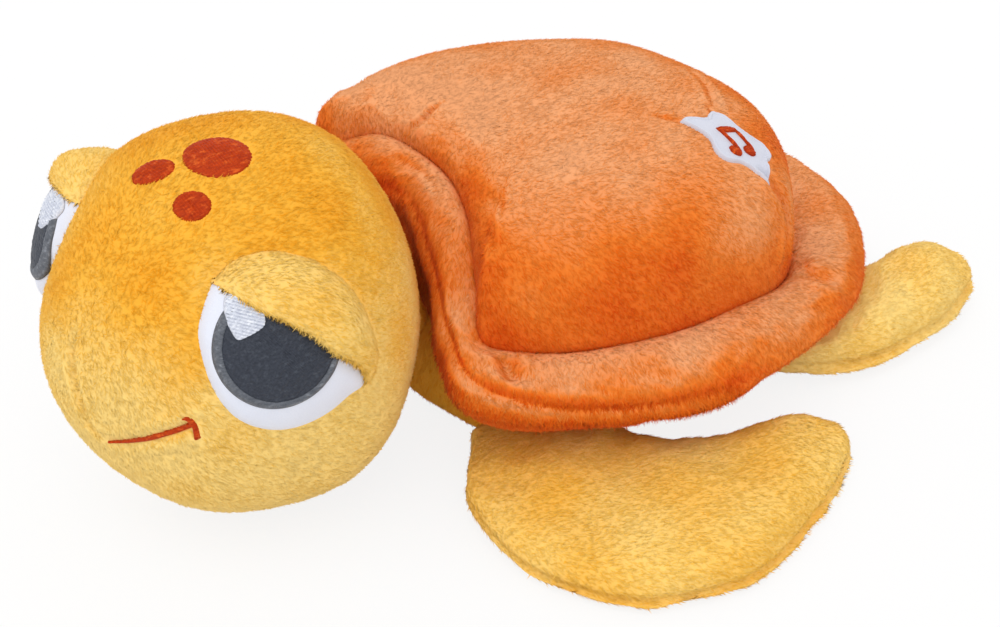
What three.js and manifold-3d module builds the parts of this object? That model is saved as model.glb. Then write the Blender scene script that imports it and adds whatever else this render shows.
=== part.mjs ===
// Plush sea turtle: a round stuffed head, a domed shell with a puffy rim, a belly and four
// flippers, with a press-to-play sound unit under a badge on the shell.
// The turtle faces -Y, +Z is up and lengths are in millimetres.
import * as THREE from 'three';
import { mergeVertices } from 'three/addons/utils/BufferGeometryUtils.js';
import Module from 'manifold-3d';

const wasm = await Module();
wasm.setup();

// Fits that every piece shares
const restGap = 0.3; // between pieces that touch
const fabric = 2.2; // plush cloth with its pile
const overrun = 6; // how far a cutter passes what it cuts

// Shell: the rim's outer width and length, and the height of the crown over the ground
const shellWidth = 188;
const shellLength = 184;
const shellHeight = 101;
const crownForward = 24; // the crown lies this far in front of the middle
const domeFullness = 3.2; // 2 is an ellipse, more is fuller
const domeRowPower = 1.3; // rows of points lie closer near the crown
const rimPuffShare = 0.2; // how far the roll swells over its seams, for their distance
const rimUnderShare = 0.16;

// Outlines from the front middle round to the rear middle, as shares of the shell's half
// width, half length and height
const creaseShares = [
  [0, -0.75, 0.86], [0.26, -0.77, 0.81], [0.47, -0.83, 0.65], [0.62, -0.85, 0.54],
  [0.78, -0.46, 0.53], [0.75, 0, 0.5], [0.55, 0.43, 0.44], [0, 0.65, 0.42],
];
// The right front corner of the crease, where the stuffing pushes the shell forwards
const creaseCornerShares = [
  [0.3, -0.83, 0.85], [0.54, -0.93, 0.72], [0.7, -0.93, 0.58], [0.79, -0.48, 0.54],
];
const rimShares = [
  [0, -0.89, 0.66], [0.28, -0.93, 0.56], [0.53, -1, 0.46], [0.79, -0.97, 0.43],
  [1, -0.41, 0.37], [0.97, 0.09, 0.34], [0.65, 0.69, 0.32], [0, 1, 0.31],
];
const bellyTopShares = [
  [0, -0.83, 0.45], [0.23, -0.83, 0.41], [0.45, -0.8, 0.33], [0.56, -0.72, 0.27],
  [0.64, -0.37, 0.24], [0.61, 0.04, 0.23], [0.45, 0.41, 0.22], [0, 0.57, 0.22],
];

// Belly: heights of its side rings, and how wide each is next to its top edge
const bellyRingHeights = [0, 0.8, 10];
const bellyRingShares = [0.62, 0.85, 0.99];

// Head, and how it sits on the neck
const headWidth = 115;
const headDepth = 127;
const headHeight = 130;
const headShift = 21; // to the turtle's left of the neck
const headReach = 55; // in front of the neck
const headLift = 1.5; // over the ground
const headTurnAngle = 23.5;
const headRollAngle = 2;
const chinFallAngle = 37; // how far below level the flattened chin looks
const chinTaperShare = 0.04;

// Neck: one stuffed ball between the head and the body
const neckRadius = 20;
const neckForward = 2; // in front of the shell
const neckHeight = 42;

// Eyes: a puffed round pad on each side, its upper part under a lid
const eyeTurnAngle = 65; // from the nose towards the side
const eyeClimbAngle = 26;
const eyeBallRadius = 34;
const eyeBulge = 8; // crown of the eye over the head
const lidLift = 2; // the lid stands this far over the eye
const lidTiltAngle = 45; // the lid's edge falls towards the back by this much
const lidLine = 2; // from the eye's middle up to the lid's edge
const irisRadius = 20;
const irisForward = 4;
const irisUp = 1;
const irisEdge = 2.4; // satin ring round the iris
const patchThick = 0.9;
const glintSize = 12;
const glintForward = 11.6;
const glintUp = 10.6;
const glintCornerShare = 0.22;

// Spots on the forehead: turn, climb and slant in degrees, half sizes as shares of the
// largest one's
const spotRadius = 10.2;
const spots = [
  { name: 'forehead_spot_middle', turn: 28, climb: 83.5, slant: 13, shares: [1, 0.92] },
  { name: 'forehead_spot_right', turn: -17.5, climb: 69, slant: 67, shares: [0.66, 0.47] },
  { name: 'forehead_spot_left', turn: 25, climb: 65.5, slant: 16, shares: [0.55, 0.48] },
];

// Mouth: turn and climb on the head as shares of a right angle, from the middle seam to the
// cheek
const mouthShares = [[-0.022, -0.078], [0.089, -0.07], [0.194, -0.05], [0.311, 0], [0.411, 0.047]];
const mouthWidth = 2.4;
const mouthTipShare = 0.45; // width of its ends

// Flippers, each drawn from its root hinge to its tip: the ends of the hinge line as shares of
// the shell's half width and length, then points of its edges as shares of its own reach to
// the side and to the back, counted from the middle of the hinge line
const frontReach = 84.5;
const frontSweep = 98;
const frontThick = 14; // crown over the seam
const frontSeam = 5.2; // height of the seam round it
const frontLift = 0.8; // its underside over the ground
const frontFlipper = {
  reach: frontReach,
  sweep: frontSweep,
  thick: frontThick,
  seam: frontSeam,
  lift: frontLift,
  hingeShares: [[0.536, -0.88], [0.687, -0.372]],
  leadShares: [
    [0.227, -0.358], [0.613, -0.312], [0.924, -0.083], [1, 0.276], [0.832, 0.624],
    [0.613, 0.891],
  ],
  trailShares: [
    [0.168, 0.285], [0.26, 0.413], [0.311, 0.56], [0.328, 0.716], [0.353, 0.854],
    [0.437, 0.955],
  ],
  tipShare: [0.529, 0.964],
  crownShares: [0.43, 0.75, 0.93, 1, 0.93, 0.75, 0.43],
};
const rearReach = 27;
const rearSweep = 85;
const rearThick = 16;
const rearSeam = 9;
const rearLift = 2.5;
const rearFlipper = {
  reach: rearReach,
  sweep: rearSweep,
  thick: rearThick,
  seam: rearSeam,
  lift: rearLift,
  hingeShares: [[0.614, 0.283], [0.365, 0.539]],
  leadShares: [
    [0.649, 0.051], [0.73, 0.284], [0.622, 0.547], [0.351, 0.78], [-0.027, 0.956],
  ],
  trailShares: [
    [-0.514, 0.328], [-0.622, 0.547], [-0.703, 0.737], [-0.676, 0.868], [-0.487, 0.985],
  ],
  tipShare: [-0.216, 1.014],
  crownShares: [0.38, 0.69, 0.94, 1, 0.88, 0.5],
};
const hingeHeight = 13; // of a flipper's root over the ground
const hingeRadius = 6; // of the round root that turns in the belly's side
const edgeRound = 0.6; // power of the swell across a flipper, less is boxier
const beadTilts = [70, 35]; // rows of the round root, turned back from the first ring
const rootShare = 0.33; // part of a flipper over which its root settles to the seam
const tipFillShare = 0.9; // how far the end is drawn out towards the tip
const rearRightBendAngle = 38; // the far rear flipper lies this much further out

// Badge over the sound unit: its place on the dome and its lobed outline
const badgeRoundShare = 0.415; // of the way round from the front middle
const badgeClimbAngle = 37; // down from the crown, of 90
const badgeRadius = 15;
const badgeLobes = 5;
const badgeLobeShare = 0.14;
const pointsPerLobe = 6;
const noteHeadLong = 3.4;
const noteHeadShort = 2.5;
const noteStem = 13;
const noteStemThick = 1.6;
const noteApart = 9;
const noteBeam = 3;
const noteSlantAngle = 8; // rise of the beam, in degrees
const noteHeadSlantAngle = 20;

// Sound unit, a round plastic case that holds a button, a board, a speaker and three cells
const caseRadius = 22;
const caseHeight = 17;
const caseWall = 1.5;
const caseDepth = 13; // lid below the cloth's outer face
const buttonDepth = 4.5; // button's face below the cloth's outer face
const buttonRadius = 8;
const buttonTravel = 2;
const buttonFlange = 1.2;
const buttonPlay = 0.4; // round the button in its hole
const boardRadius = 17;
const boardThick = 1.2;
const boardDepth = 7.4; // board's top below the lid's top
const switchSide = 6;
const switchHeight = 2;
const speakerRadius = 5;
const speakerMagnetShare = 0.6;
const speakerHeight = 1.8;
const speakerOffset = 13;
const cellCount = 3;
const cellRadius = 5.8;
const cellHeight = 5;
const cellOffset = 7;
const hatchRadius = 14;
const hatchLip = 1.2;
const screwRadius = 1.4;
const screwLength = 2.6;
const screwHeadRadius = 2.4;
const screwHeadThick = 1;

// Fineness of the meshes
const stations = 36;
const domeRows = 7;
const headSides = 24;
const headRows = 14;
const ballSides = 18;
const ballRows = 10;
const flipperRows = 10;
const flipperSides = 10;
const roundSides = 20;
const ovalSteps = 5; // points on each eighth of an oval
const mouthSteps = 10;
const mouthSides = 6;
const nearShare = 0.01; // step to a neighbouring point on a surface

const degrees = THREE.MathUtils.degToRad;
const zAxis = new THREE.Vector3(0, 0, 1);

const colours = {
  skin: 0xf2b13a, shell: 0xec7d38, spot: 0xbf4a1c, white: 0xe9ebf2, iris: 0x3e424c,
  edge: 0x6e7076, badge: 0xe4e2ee, filling: 0xf4f1ea, plastic: 0xd9d9d4, board: 0x2f6b3c,
  metal: 0xb8bcc0, dark: 0x2b2c30,
};

// A matt or shiny material of one colour
function material(colour, roughness = 0.95, metalness = 0) {
  return new THREE.MeshStandardMaterial({ color: colours[colour], roughness, metalness });
}

// Closed body from points and triangles, with its faces turned outwards
function closedBody(points, index) {
  const geometry = new THREE.BufferGeometry().setFromPoints(points);
  let volume = 0;
  for (let i = 0; i < index.length; i += 3) {
    const [a, b, c] = [points[index[i]], points[index[i + 1]], points[index[i + 2]]];
    volume += a.dot(b.clone().cross(c));
  }
  if (volume < 0) index.reverse();
  geometry.setIndex(index);
  return geometry;
}

// Skin over a stack of equal rings, closed by a fan to a point at each end
function stackRings(rings, start, end) {
  const count = rings[0].length;
  const last = rings.length - 1;
  const points = [start, ...rings.flat(), end];
  const at = (ring, i) => 1 + ring * count + (i % count);
  const index = [];
  for (let i = 0; i < count; i += 1) {
    index.push(0, at(0, i + 1), at(0, i));
    index.push(points.length - 1, at(last, i), at(last, i + 1));
    for (let ring = 0; ring < last; ring += 1) {
      const [a, b] = [at(ring, i), at(ring, i + 1)];
      const [c, d] = [at(ring + 1, i), at(ring + 1, i + 1)];
      index.push(a, b, d, a, d, c);
    }
  }
  return closedBody(points, index);
}

// Skin over sections that run round and meet again
function wrapSections(sections) {
  const count = sections[0].length;
  const at = (s, i) => (s % sections.length) * count + (i % count);
  const index = [];
  for (let s = 0; s < sections.length; s += 1) {
    for (let i = 0; i < count; i += 1) {
      index.push(at(s, i), at(s, i + 1), at(s + 1, i + 1));
      index.push(at(s, i), at(s + 1, i + 1), at(s + 1, i));
    }
  }
  return closedBody(sections.flat(), index);
}

// Solid for joining and cutting
function solid(geometry) {
  const bare = geometry.clone();
  bare.deleteAttribute('normal');
  bare.deleteAttribute('uv');
  const merged = mergeVertices(bare);
  return new wasm.Manifold(new wasm.Mesh({
    numProp: 3,
    vertProperties: new Float32Array(merged.attributes.position.array),
    triVerts: new Uint32Array(merged.index.array),
  }));
}

// Geometry of a solid
function geometryOf(shape) {
  const cut = shape.getMesh();
  const geometry = new THREE.BufferGeometry();
  geometry.setAttribute('position', new THREE.BufferAttribute(cut.vertProperties, 3));
  geometry.setIndex(new THREE.BufferAttribute(cut.triVerts, 1));
  return geometry;
}

function minus(shape, ...cutters) {
  return cutters.reduce((left, cutter) => left.subtract(cutter), shape);
}

function addMesh(parent, name, geometry, look) {
  const mesh = new THREE.Mesh(geometry, look);
  mesh.name = name;
  parent.add(mesh);
  return mesh;
}

// Copy on the other side of the middle plane, with its faces turned back outwards
function mirrored(geometry) {
  const copy = geometry.clone().scale(-1, 1, 1);
  copy.setIndex(Array.from(geometry.index.array).reverse());
  return copy;
}

// Shell outlines

// Closed curve through the left half's points and then the right's, back to the front
function outline(shares, cornerShares = []) {
  const place = ([x, y, z]) => new THREE.Vector3(
    x * shellWidth / 2, y * shellLength / 2, z * shellHeight);
  const right = shares.slice(1, -1).map((share, i) => cornerShares[i] ?? share)
    .map(([x, y, z]) => place([-x, y, z])).reverse();
  const curve = new THREE.CatmullRomCurve3([...shares.map(place), ...right], true, 'catmullrom');
  return (share) => curve.getPoint(THREE.MathUtils.euclideanModulo(share, 1));
}

const creaseAt = outline(creaseShares, creaseCornerShares);
const rimAt = outline(rimShares);
const bellyTopAt = outline(bellyTopShares);

// Points of an outline, moved level towards its inside and up or down
function loop(at, inset, rise = 0) {
  return Array.from({ length: stations }, (_, i) => {
    const share = i / stations;
    const along = at(share + 0.5 / stations).sub(at(share - 0.5 / stations));
    const out = new THREE.Vector3(along.y, -along.x, 0).normalize();
    return at(share).addScaledVector(out, -inset).addScaledVector(zAxis, rise);
  });
}

// Dome

const crown = new THREE.Vector3(0, -crownForward, shellHeight);

// From the crown at angle 0 to the crease at 90: a fuller ellipse over each base point
function domeFrom(base, angle, top) {
  const out = Math.sin(degrees(angle)) ** (2 / domeFullness);
  const up = Math.cos(degrees(angle)) ** (2 / domeFullness);
  return new THREE.Vector3(
    top.x + (base.x - top.x) * out,
    top.y + (base.y - top.y) * out,
    base.z + (top.z - base.z) * up);
}

// Rows from near the crown to the crease, inset from the dome's outer face
function domeRings(inset) {
  const base = loop(creaseAt, inset + restGap, restGap);
  const top = crown.clone().addScaledVector(zAxis, -inset);
  return Array.from({ length: domeRows }, (_, row) => base.map(
    (point) => domeFrom(point, 90 * ((row + 1) / domeRows) ** domeRowPower, top)));
}

function crownPoint(inset) {
  return crown.clone().addScaledVector(zAxis, -inset);
}

function domeCover() {
  const outer = domeRings(0);
  const inner = domeRings(fabric).reverse();
  return stackRings([...outer, ...inner], crownPoint(0), crownPoint(fabric));
}

// Whole dome, grown by a thickness and closed below, to cut a layer that lies on it
function domeBlock(grow) {
  const rings = domeRings(-grow);
  const floor = rings[domeRows - 1].map((p) => new THREE.Vector3(p.x, p.y, 0));
  return solid(stackRings([...rings, floor], crownPoint(-grow), new THREE.Vector3()));
}

// Rim: a puffy roll between the crease, its outer seam and the belly's top edge

// Edge between two points, swollen to the left of its way as seen with the inside below
function swollenEdge(from, to, outward, swell, count) {
  const way = to.clone().sub(from);
  const level = way.dot(outward);
  const side = outward.clone().multiplyScalar(-way.z).addScaledVector(zAxis, level);
  return Array.from({ length: count }, (_, i) => {
    const t = i / count;
    return from.clone().addScaledVector(way, t)
      .addScaledVector(side, swell * Math.sin(Math.PI * t));
  });
}

function rimRoll() {
  const tops = loop(creaseAt, 0);
  const edges = loop(rimAt, 0);
  const unders = loop(bellyTopAt, -restGap);
  return wrapSections(tops.map((top, i) => {
    const outward = edges[i].clone().sub(top).setZ(0).normalize();
    return [
      ...swollenEdge(top, edges[i], outward, rimPuffShare, 3),
      ...swollenEdge(edges[i], unders[i], outward, rimUnderShare, 3),
      ...swollenEdge(unders[i], top, outward, 0, 2),
    ];
  }));
}

// Belly

// Ring at one share of the belly's plan and one height, inset from its outer face
function bellyRing(share, height, inset) {
  return loop(bellyTopAt, inset / share).map(
    (p) => new THREE.Vector3(p.x * share, p.y * share, height));
}

function bellyRings(inset) {
  return [
    ...bellyRingShares.map((share, i) => bellyRing(share, bellyRingHeights[i] + inset, inset)),
    loop(bellyTopAt, inset, -restGap),
  ];
}

function bellyBottom(inset) {
  return new THREE.Vector3(0, 0, inset);
}

function bellyCover() {
  const inner = bellyRings(fabric).reverse();
  return solid(stackRings([...bellyRings(0), ...inner], bellyBottom(0), bellyBottom(fabric)));
}

function bodyFilling() {
  const inset = fabric + restGap;
  const rings = [...bellyRings(inset), ...domeRings(inset).reverse()];
  return solid(stackRings(rings, bellyBottom(inset), crownPoint(inset)));
}

// Neck

const neckPlace = new THREE.Vector3(0, -shellLength / 2 - neckForward, neckHeight);

function ball(radius, centre) {
  return new THREE.SphereGeometry(radius, ballSides, ballRows)
    .translate(centre.x, centre.y, centre.z);
}

// Hollow for the neck, whose flat faces also stay clear of it
function neckHollow(centre) {
  const facets = Math.cos(Math.PI / ballSides) * Math.cos(Math.PI / (2 * ballRows));
  return solid(ball((neckRadius + restGap) / facets, centre));
}

// Head, drawn round its own middle with the face towards -Y

const headPlace = new THREE.Vector3(
  headShift, neckPlace.y - headReach, headHeight / 2 + headLift);
const headGroup = new THREE.Group();
headGroup.position.copy(headPlace);
headGroup.rotation.set(0, degrees(headRollAngle), degrees(headTurnAngle), 'ZXY');
headGroup.updateMatrixWorld(true);

const chinWay = new THREE.Vector3(0, -Math.cos(degrees(chinFallAngle)), -Math.sin(degrees(chinFallAngle)));

// Point of the head over a direction, grown outwards by a thickness
function headPoint(way, grow = 0) {
  const unit = way.clone().normalize();
  const taper = 1 - chinTaperShare * Math.max(0, unit.dot(chinWay)) ** 2;
  return new THREE.Vector3(
    unit.x * (headWidth / 2 * taper + grow),
    unit.y * (headDepth / 2 * taper + grow),
    unit.z * (headHeight / 2 * taper + grow));
}

function wayOf(turn, climb) {
  const level = Math.cos(degrees(climb));
  return new THREE.Vector3(
    Math.sin(degrees(turn)) * level, -Math.cos(degrees(turn)) * level, Math.sin(degrees(climb)));
}

function headBlock(grow) {
  const geometry = new THREE.SphereGeometry(1, headSides, headRows).rotateX(Math.PI / 2);
  const place = geometry.attributes.position;
  for (let i = 0; i < place.count; i += 1) {
    const point = headPoint(new THREE.Vector3().fromBufferAttribute(place, i), grow);
    place.setXYZ(i, point.x, point.y, point.z);
  }
  return solid(geometry);
}

const neckInHead = headGroup.worldToLocal(neckPlace.clone());

// Frame on the head at a turn and climb: X towards the back, Y up and Z outwards
function headFrame(turn, climb, distance) {
  const out = wayOf(turn, climb);
  const back = new THREE.Vector3(Math.cos(degrees(turn)), Math.sin(degrees(turn)), 0);
  const up = out.clone().cross(back);
  return new THREE.Matrix4().makeBasis(back, up, out).setPosition(out.multiplyScalar(distance));
}

// Prism with a given outline, that starts in its frame's plane and goes outwards
function prism(shape, depth, frame) {
  const options = { depth, bevelEnabled: false, curveSegments: 2 * ovalSteps };
  const geometry = new THREE.ExtrudeGeometry(shape, options);
  return solid(geometry.applyMatrix4(frame));
}

function oval(along, across, slant = 0, x = 0, y = 0) {
  const shape = new THREE.Shape();
  shape.absellipse(x, y, along, across, 0, Math.PI * 2, false, degrees(slant));
  return shape;
}

function roundedSquare(size, corner, x, y) {
  const half = size / 2;
  const shape = new THREE.Shape();
  shape.moveTo(x - half + corner, y - half);
  shape.lineTo(x + half - corner, y - half);
  shape.quadraticCurveTo(x + half, y - half, x + half, y - half + corner);
  shape.lineTo(x + half, y + half - corner);
  shape.quadraticCurveTo(x + half, y + half, x + half - corner, y + half);
  shape.lineTo(x - half + corner, y + half);
  shape.quadraticCurveTo(x - half, y + half, x - half, y + half - corner);
  shape.lineTo(x - half, y - half + corner);
  shape.quadraticCurveTo(x - half, y - half, x - half + corner, y - half);
  return shape;
}

// Eyes, drawn on the turtle's left and mirrored

function eyePieces() {
  const skinAt = headPoint(wayOf(eyeTurnAngle, eyeClimbAngle)).length();
  const frame = headFrame(eyeTurnAngle, eyeClimbAngle, skinAt + eyeBulge - eyeBallRadius);
  const eyeBall = (grow) => solid(new THREE.SphereGeometry(eyeBallRadius + grow, ballSides,
    ballRows).rotateX(Math.PI / 2).applyMatrix4(frame));
  // Half space over or under the lid's edge
  const side = 4 * eyeBallRadius;
  const lidHalf = (up) => solid(new THREE.BoxGeometry(side, side, side)
    .translate(0, up * (side + restGap) / 2 + lidLine, 0)
    .rotateZ(-degrees(lidTiltAngle))
    .applyMatrix4(frame));
  const over = lidHalf(1);
  const under = lidHalf(-1);
  const seat = headBlock(restGap);
  const layer = (from, thick, shape) => prism(shape, eyeBallRadius + overrun, frame)
    .intersect(eyeBall(from + thick).subtract(eyeBall(from))).intersect(under).subtract(seat);
  const ringOutside = oval(irisRadius + irisEdge, irisRadius + irisEdge, 0, -irisForward, irisUp);
  const ringInside = oval(irisRadius + restGap, irisRadius + restGap, 0, -irisForward, irisUp);
  ringOutside.holes.push(ringInside);
  const glintCorner = glintSize * glintCornerShare;
  const glint = roundedSquare(glintSize, glintCorner, -glintForward, glintUp);
  const onIris = 2 * restGap + patchThick;
  return {
    eye_white: [minus(eyeBall(0).intersect(under), seat), 'white'],
    eyelid: [minus(eyeBall(lidLift).intersect(over), seat), 'skin'],
    iris: [layer(restGap, patchThick, oval(irisRadius, irisRadius, 0, -irisForward, irisUp)),
      'iris'],
    iris_edge: [layer(restGap, patchThick, ringOutside), 'edge'],
    eye_glint: [layer(onIris, patchThick / 2, glint), 'white'],
  };
}

// Patch of embroidery that lies on the head
function headPatch(spot) {
  const frame = headFrame(spot.turn, spot.climb, headHeight / 4);
  const [along, across] = spot.shares.map((share) => share * spotRadius);
  const cutter = prism(oval(along, across, spot.slant), headHeight / 2, frame);
  return cutter.intersect(headBlock(restGap + patchThick).subtract(headBlock(restGap)));
}

// Stitched line that follows the head, round in section
function mouthLine() {
  const radius = mouthWidth / 2;
  const curve = new THREE.CatmullRomCurve3(mouthShares.map(
    ([turn, climb]) => headPoint(wayOf(90 * turn, 90 * climb), restGap + radius)));
  const rings = Array.from({ length: mouthSteps + 1 }, (_, step) => {
    const centre = curve.getPoint(step / mouthSteps);
    const along = curve.getTangent(step / mouthSteps);
    const out = centre.clone().normalize();
    const across = along.clone().cross(out).normalize();
    const middle = Math.sin(Math.PI * step / mouthSteps);
    const width = radius * THREE.MathUtils.lerp(mouthTipShare, 1, middle);
    return Array.from({ length: mouthSides }, (__, i) => centre.clone()
      .addScaledVector(across, width * Math.cos(2 * Math.PI * i / mouthSides))
      .addScaledVector(out, width * Math.sin(2 * Math.PI * i / mouthSides)));
  });
  return stackRings(rings, curve.getPoint(0), curve.getPoint(1));
}

// Flippers, drawn on the turtle's left

function middleOf(ring) {
  const middle = new THREE.Vector3();
  ring.forEach((point) => middle.add(point));
  return middle.divideScalar(ring.length);
}

// Ends of the hinge line at a flipper's root
function hingeLine(plan) {
  return plan.hingeShares.map(([x, y]) => new THREE.Vector3(
    x * shellWidth / 2, y * shellLength / 2, hingeHeight));
}

// Rings from the root to the tip. Each is a chord from the leading to the trailing edge,
// with its crown above the seam and a flatter swell below. The root ends in a half-round
// bead about the hinge line. What lies inside the cloth stops a row short of the end.
function flipperBlock(plan, inset, bend, reach = 0) {
  const rows = flipperRows - 1;
  const [front, back] = hingeLine(plan);
  const pivot = front.clone().add(back).multiplyScalar(0.5).setZ(0);
  const place = ([x, y]) => new THREE.Vector3(x * plan.reach, y * plan.sweep, 0).add(pivot);
  const edge = (start, shares) => new THREE.CatmullRomCurve3(
    [start.setZ(0), ...shares.map(place)]);
  const lead = edge(front, plan.leadShares);
  const trail = edge(back, plan.trailShares);
  const crowns = new THREE.CatmullRomCurve3(plan.crownShares.map(
    (share) => new THREE.Vector3(0, 0, share * plan.thick)), false, 'catmullrom');
  const rootLine = trail.getPoint(0).sub(lead.getPoint(0)).normalize();
  const rootOut = new THREE.Vector3(rootLine.y, -rootLine.x, 0);
  const bent = (point, settle) => point.sub(pivot)
    .applyAxisAngle(zAxis, -degrees(bend * settle ** 2)).add(pivot);
  const ring = (t, setBack, tilt) => {
    const chordStart = lead.getPoint(t);
    const chordEnd = trail.getPoint(t);
    const along = chordEnd.clone().sub(chordStart).normalize();
    const [from, to] = [chordStart.addScaledVector(along, inset),
      chordEnd.addScaledVector(along, -inset)];
    const settle = Math.min(1, t / rootShare);
    const seam = THREE.MathUtils.lerp(hingeHeight, plan.seam, settle);
    const upper = crowns.getPoint(t).z - inset;
    const lower = THREE.MathUtils.lerp(hingeRadius, plan.seam - plan.lift, settle) - inset;
    return Array.from({ length: flipperSides }, (_, i) => {
      const angle = 2 * Math.PI * i / flipperSides;
      const swell = Math.abs(Math.sin(angle)) ** edgeRound * Math.sign(Math.sin(angle));
      const height = (swell > 0 ? upper : lower) * swell;
      const point = from.clone().lerp(to, (1 - Math.cos(angle)) / 2);
      point.addScaledVector(rootOut, -setBack - Math.abs(height) * Math.sin(degrees(tilt)));
      return bent(point, settle).setZ(seam + height * Math.cos(degrees(tilt)));
    });
  };
  const roots = reach > 0 ? [ring(0, reach, 0)] : beadTilts.map((tilt) => ring(0, 0, tilt));
  const count = inset > 0 ? flipperRows - 1 : flipperRows;
  const rings = [...roots, ...Array.from({ length: count }, (_, row) => ring(row / rows, 0, 0))];
  const end = middleOf(rings[rings.length - 1]);
  if (inset === 0) {
    end.lerp(bent(place(plan.tipShare), 1).setZ(plan.seam), tipFillShare);
  }
  return solid(stackRings(rings, middleOf(rings[0]), end));
}

// Groove in the belly's side for the round root
function hingeGroove(plan) {
  const [from, to] = hingeLine(plan);
  const length = from.distanceTo(to) + 2 * restGap;
  const turn = new THREE.Quaternion().setFromUnitVectors(
    new THREE.Vector3(0, 1, 0), to.clone().sub(from).normalize());
  const middle = from.add(to).multiplyScalar(0.5);
  const radius = (hingeRadius + restGap) / Math.cos(Math.PI / roundSides);
  return new THREE.CylinderGeometry(radius, radius, length, roundSides)
    .applyQuaternion(turn).translate(middle.x, middle.y, middle.z);
}

// Badge and sound unit

const badgeBase = creaseAt(badgeRoundShare);
const badgePlace = domeFrom(badgeBase, badgeClimbAngle, crown);
const badgeOut = new THREE.Vector3().crossVectors(
  domeFrom(creaseAt(badgeRoundShare + nearShare), badgeClimbAngle, crown).sub(badgePlace),
  domeFrom(badgeBase, badgeClimbAngle * (1 - nearShare), crown).sub(badgePlace)).normalize();
const unitGroup = new THREE.Group();
unitGroup.position.copy(badgePlace);
unitGroup.quaternion.setFromUnitVectors(zAxis, badgeOut);
unitGroup.updateMatrixWorld(true);

function lobedDisc() {
  const count = pointsPerLobe * badgeLobes;
  const outlinePoints = Array.from({ length: count }, (_, i) => {
    const angle = 2 * Math.PI * i / count;
    const radius = badgeRadius * (1 + badgeLobeShare * Math.cos(badgeLobes * angle));
    return new THREE.Vector2(radius * Math.sin(angle), radius * Math.cos(angle));
  });
  return new THREE.Shape(outlinePoints);
}

// Layer on the dome inside an outline drawn round the badge's middle
function domePatch(shapes, from, thick) {
  const frame = new THREE.Matrix4().makeTranslation(0, 0, -badgeRadius)
    .premultiply(unitGroup.matrixWorld);
  const cutters = shapes.map((shape) => prism(shape, 2 * badgeRadius, frame));
  const cutter = cutters.reduce((all, one) => all.add(one));
  return cutter.intersect(domeBlock(from + thick).subtract(domeBlock(from)));
}

// Two notes joined by a beam
function noteShapes() {
  const left = -noteApart / 2;
  const low = -noteStem / 2;
  const rise = noteApart * Math.tan(degrees(noteSlantAngle));
  const stem = (x, y) => new THREE.Shape([
    new THREE.Vector2(x, y), new THREE.Vector2(x + noteStemThick, y),
    new THREE.Vector2(x + noteStemThick, y + noteStem), new THREE.Vector2(x, y + noteStem)]);
  const beam = new THREE.Shape([
    new THREE.Vector2(left, low + noteStem - noteBeam),
    new THREE.Vector2(left + noteApart + noteStemThick, low + rise + noteStem - noteBeam),
    new THREE.Vector2(left + noteApart + noteStemThick, low + rise + noteStem),
    new THREE.Vector2(left, low + noteStem)]);
  const head = (x, y) => oval(
    noteHeadLong, noteHeadShort, noteHeadSlantAngle, x - noteHeadLong + noteStemThick, y);
  return [stem(left, low), stem(left + noteApart, low + rise), beam,
    head(left, low), head(left + noteApart, low + rise)];
}

function turned(profile) {
  return new THREE.LatheGeometry(profile.map(([r, z]) => new THREE.Vector2(r, z)), roundSides)
    .rotateX(Math.PI / 2);
}

function disc(radius, from, to) {
  return new THREE.CylinderGeometry(radius, radius, to - from, roundSides)
    .rotateX(Math.PI / 2).translate(0, 0, (from + to) / 2);
}

const lidTop = -caseDepth;
const caseTop = lidTop - caseWall - restGap;
const caseBottom = lidTop - caseHeight;
const boardTop = lidTop - boardDepth;
const boardBottom = boardTop - boardThick;

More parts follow.
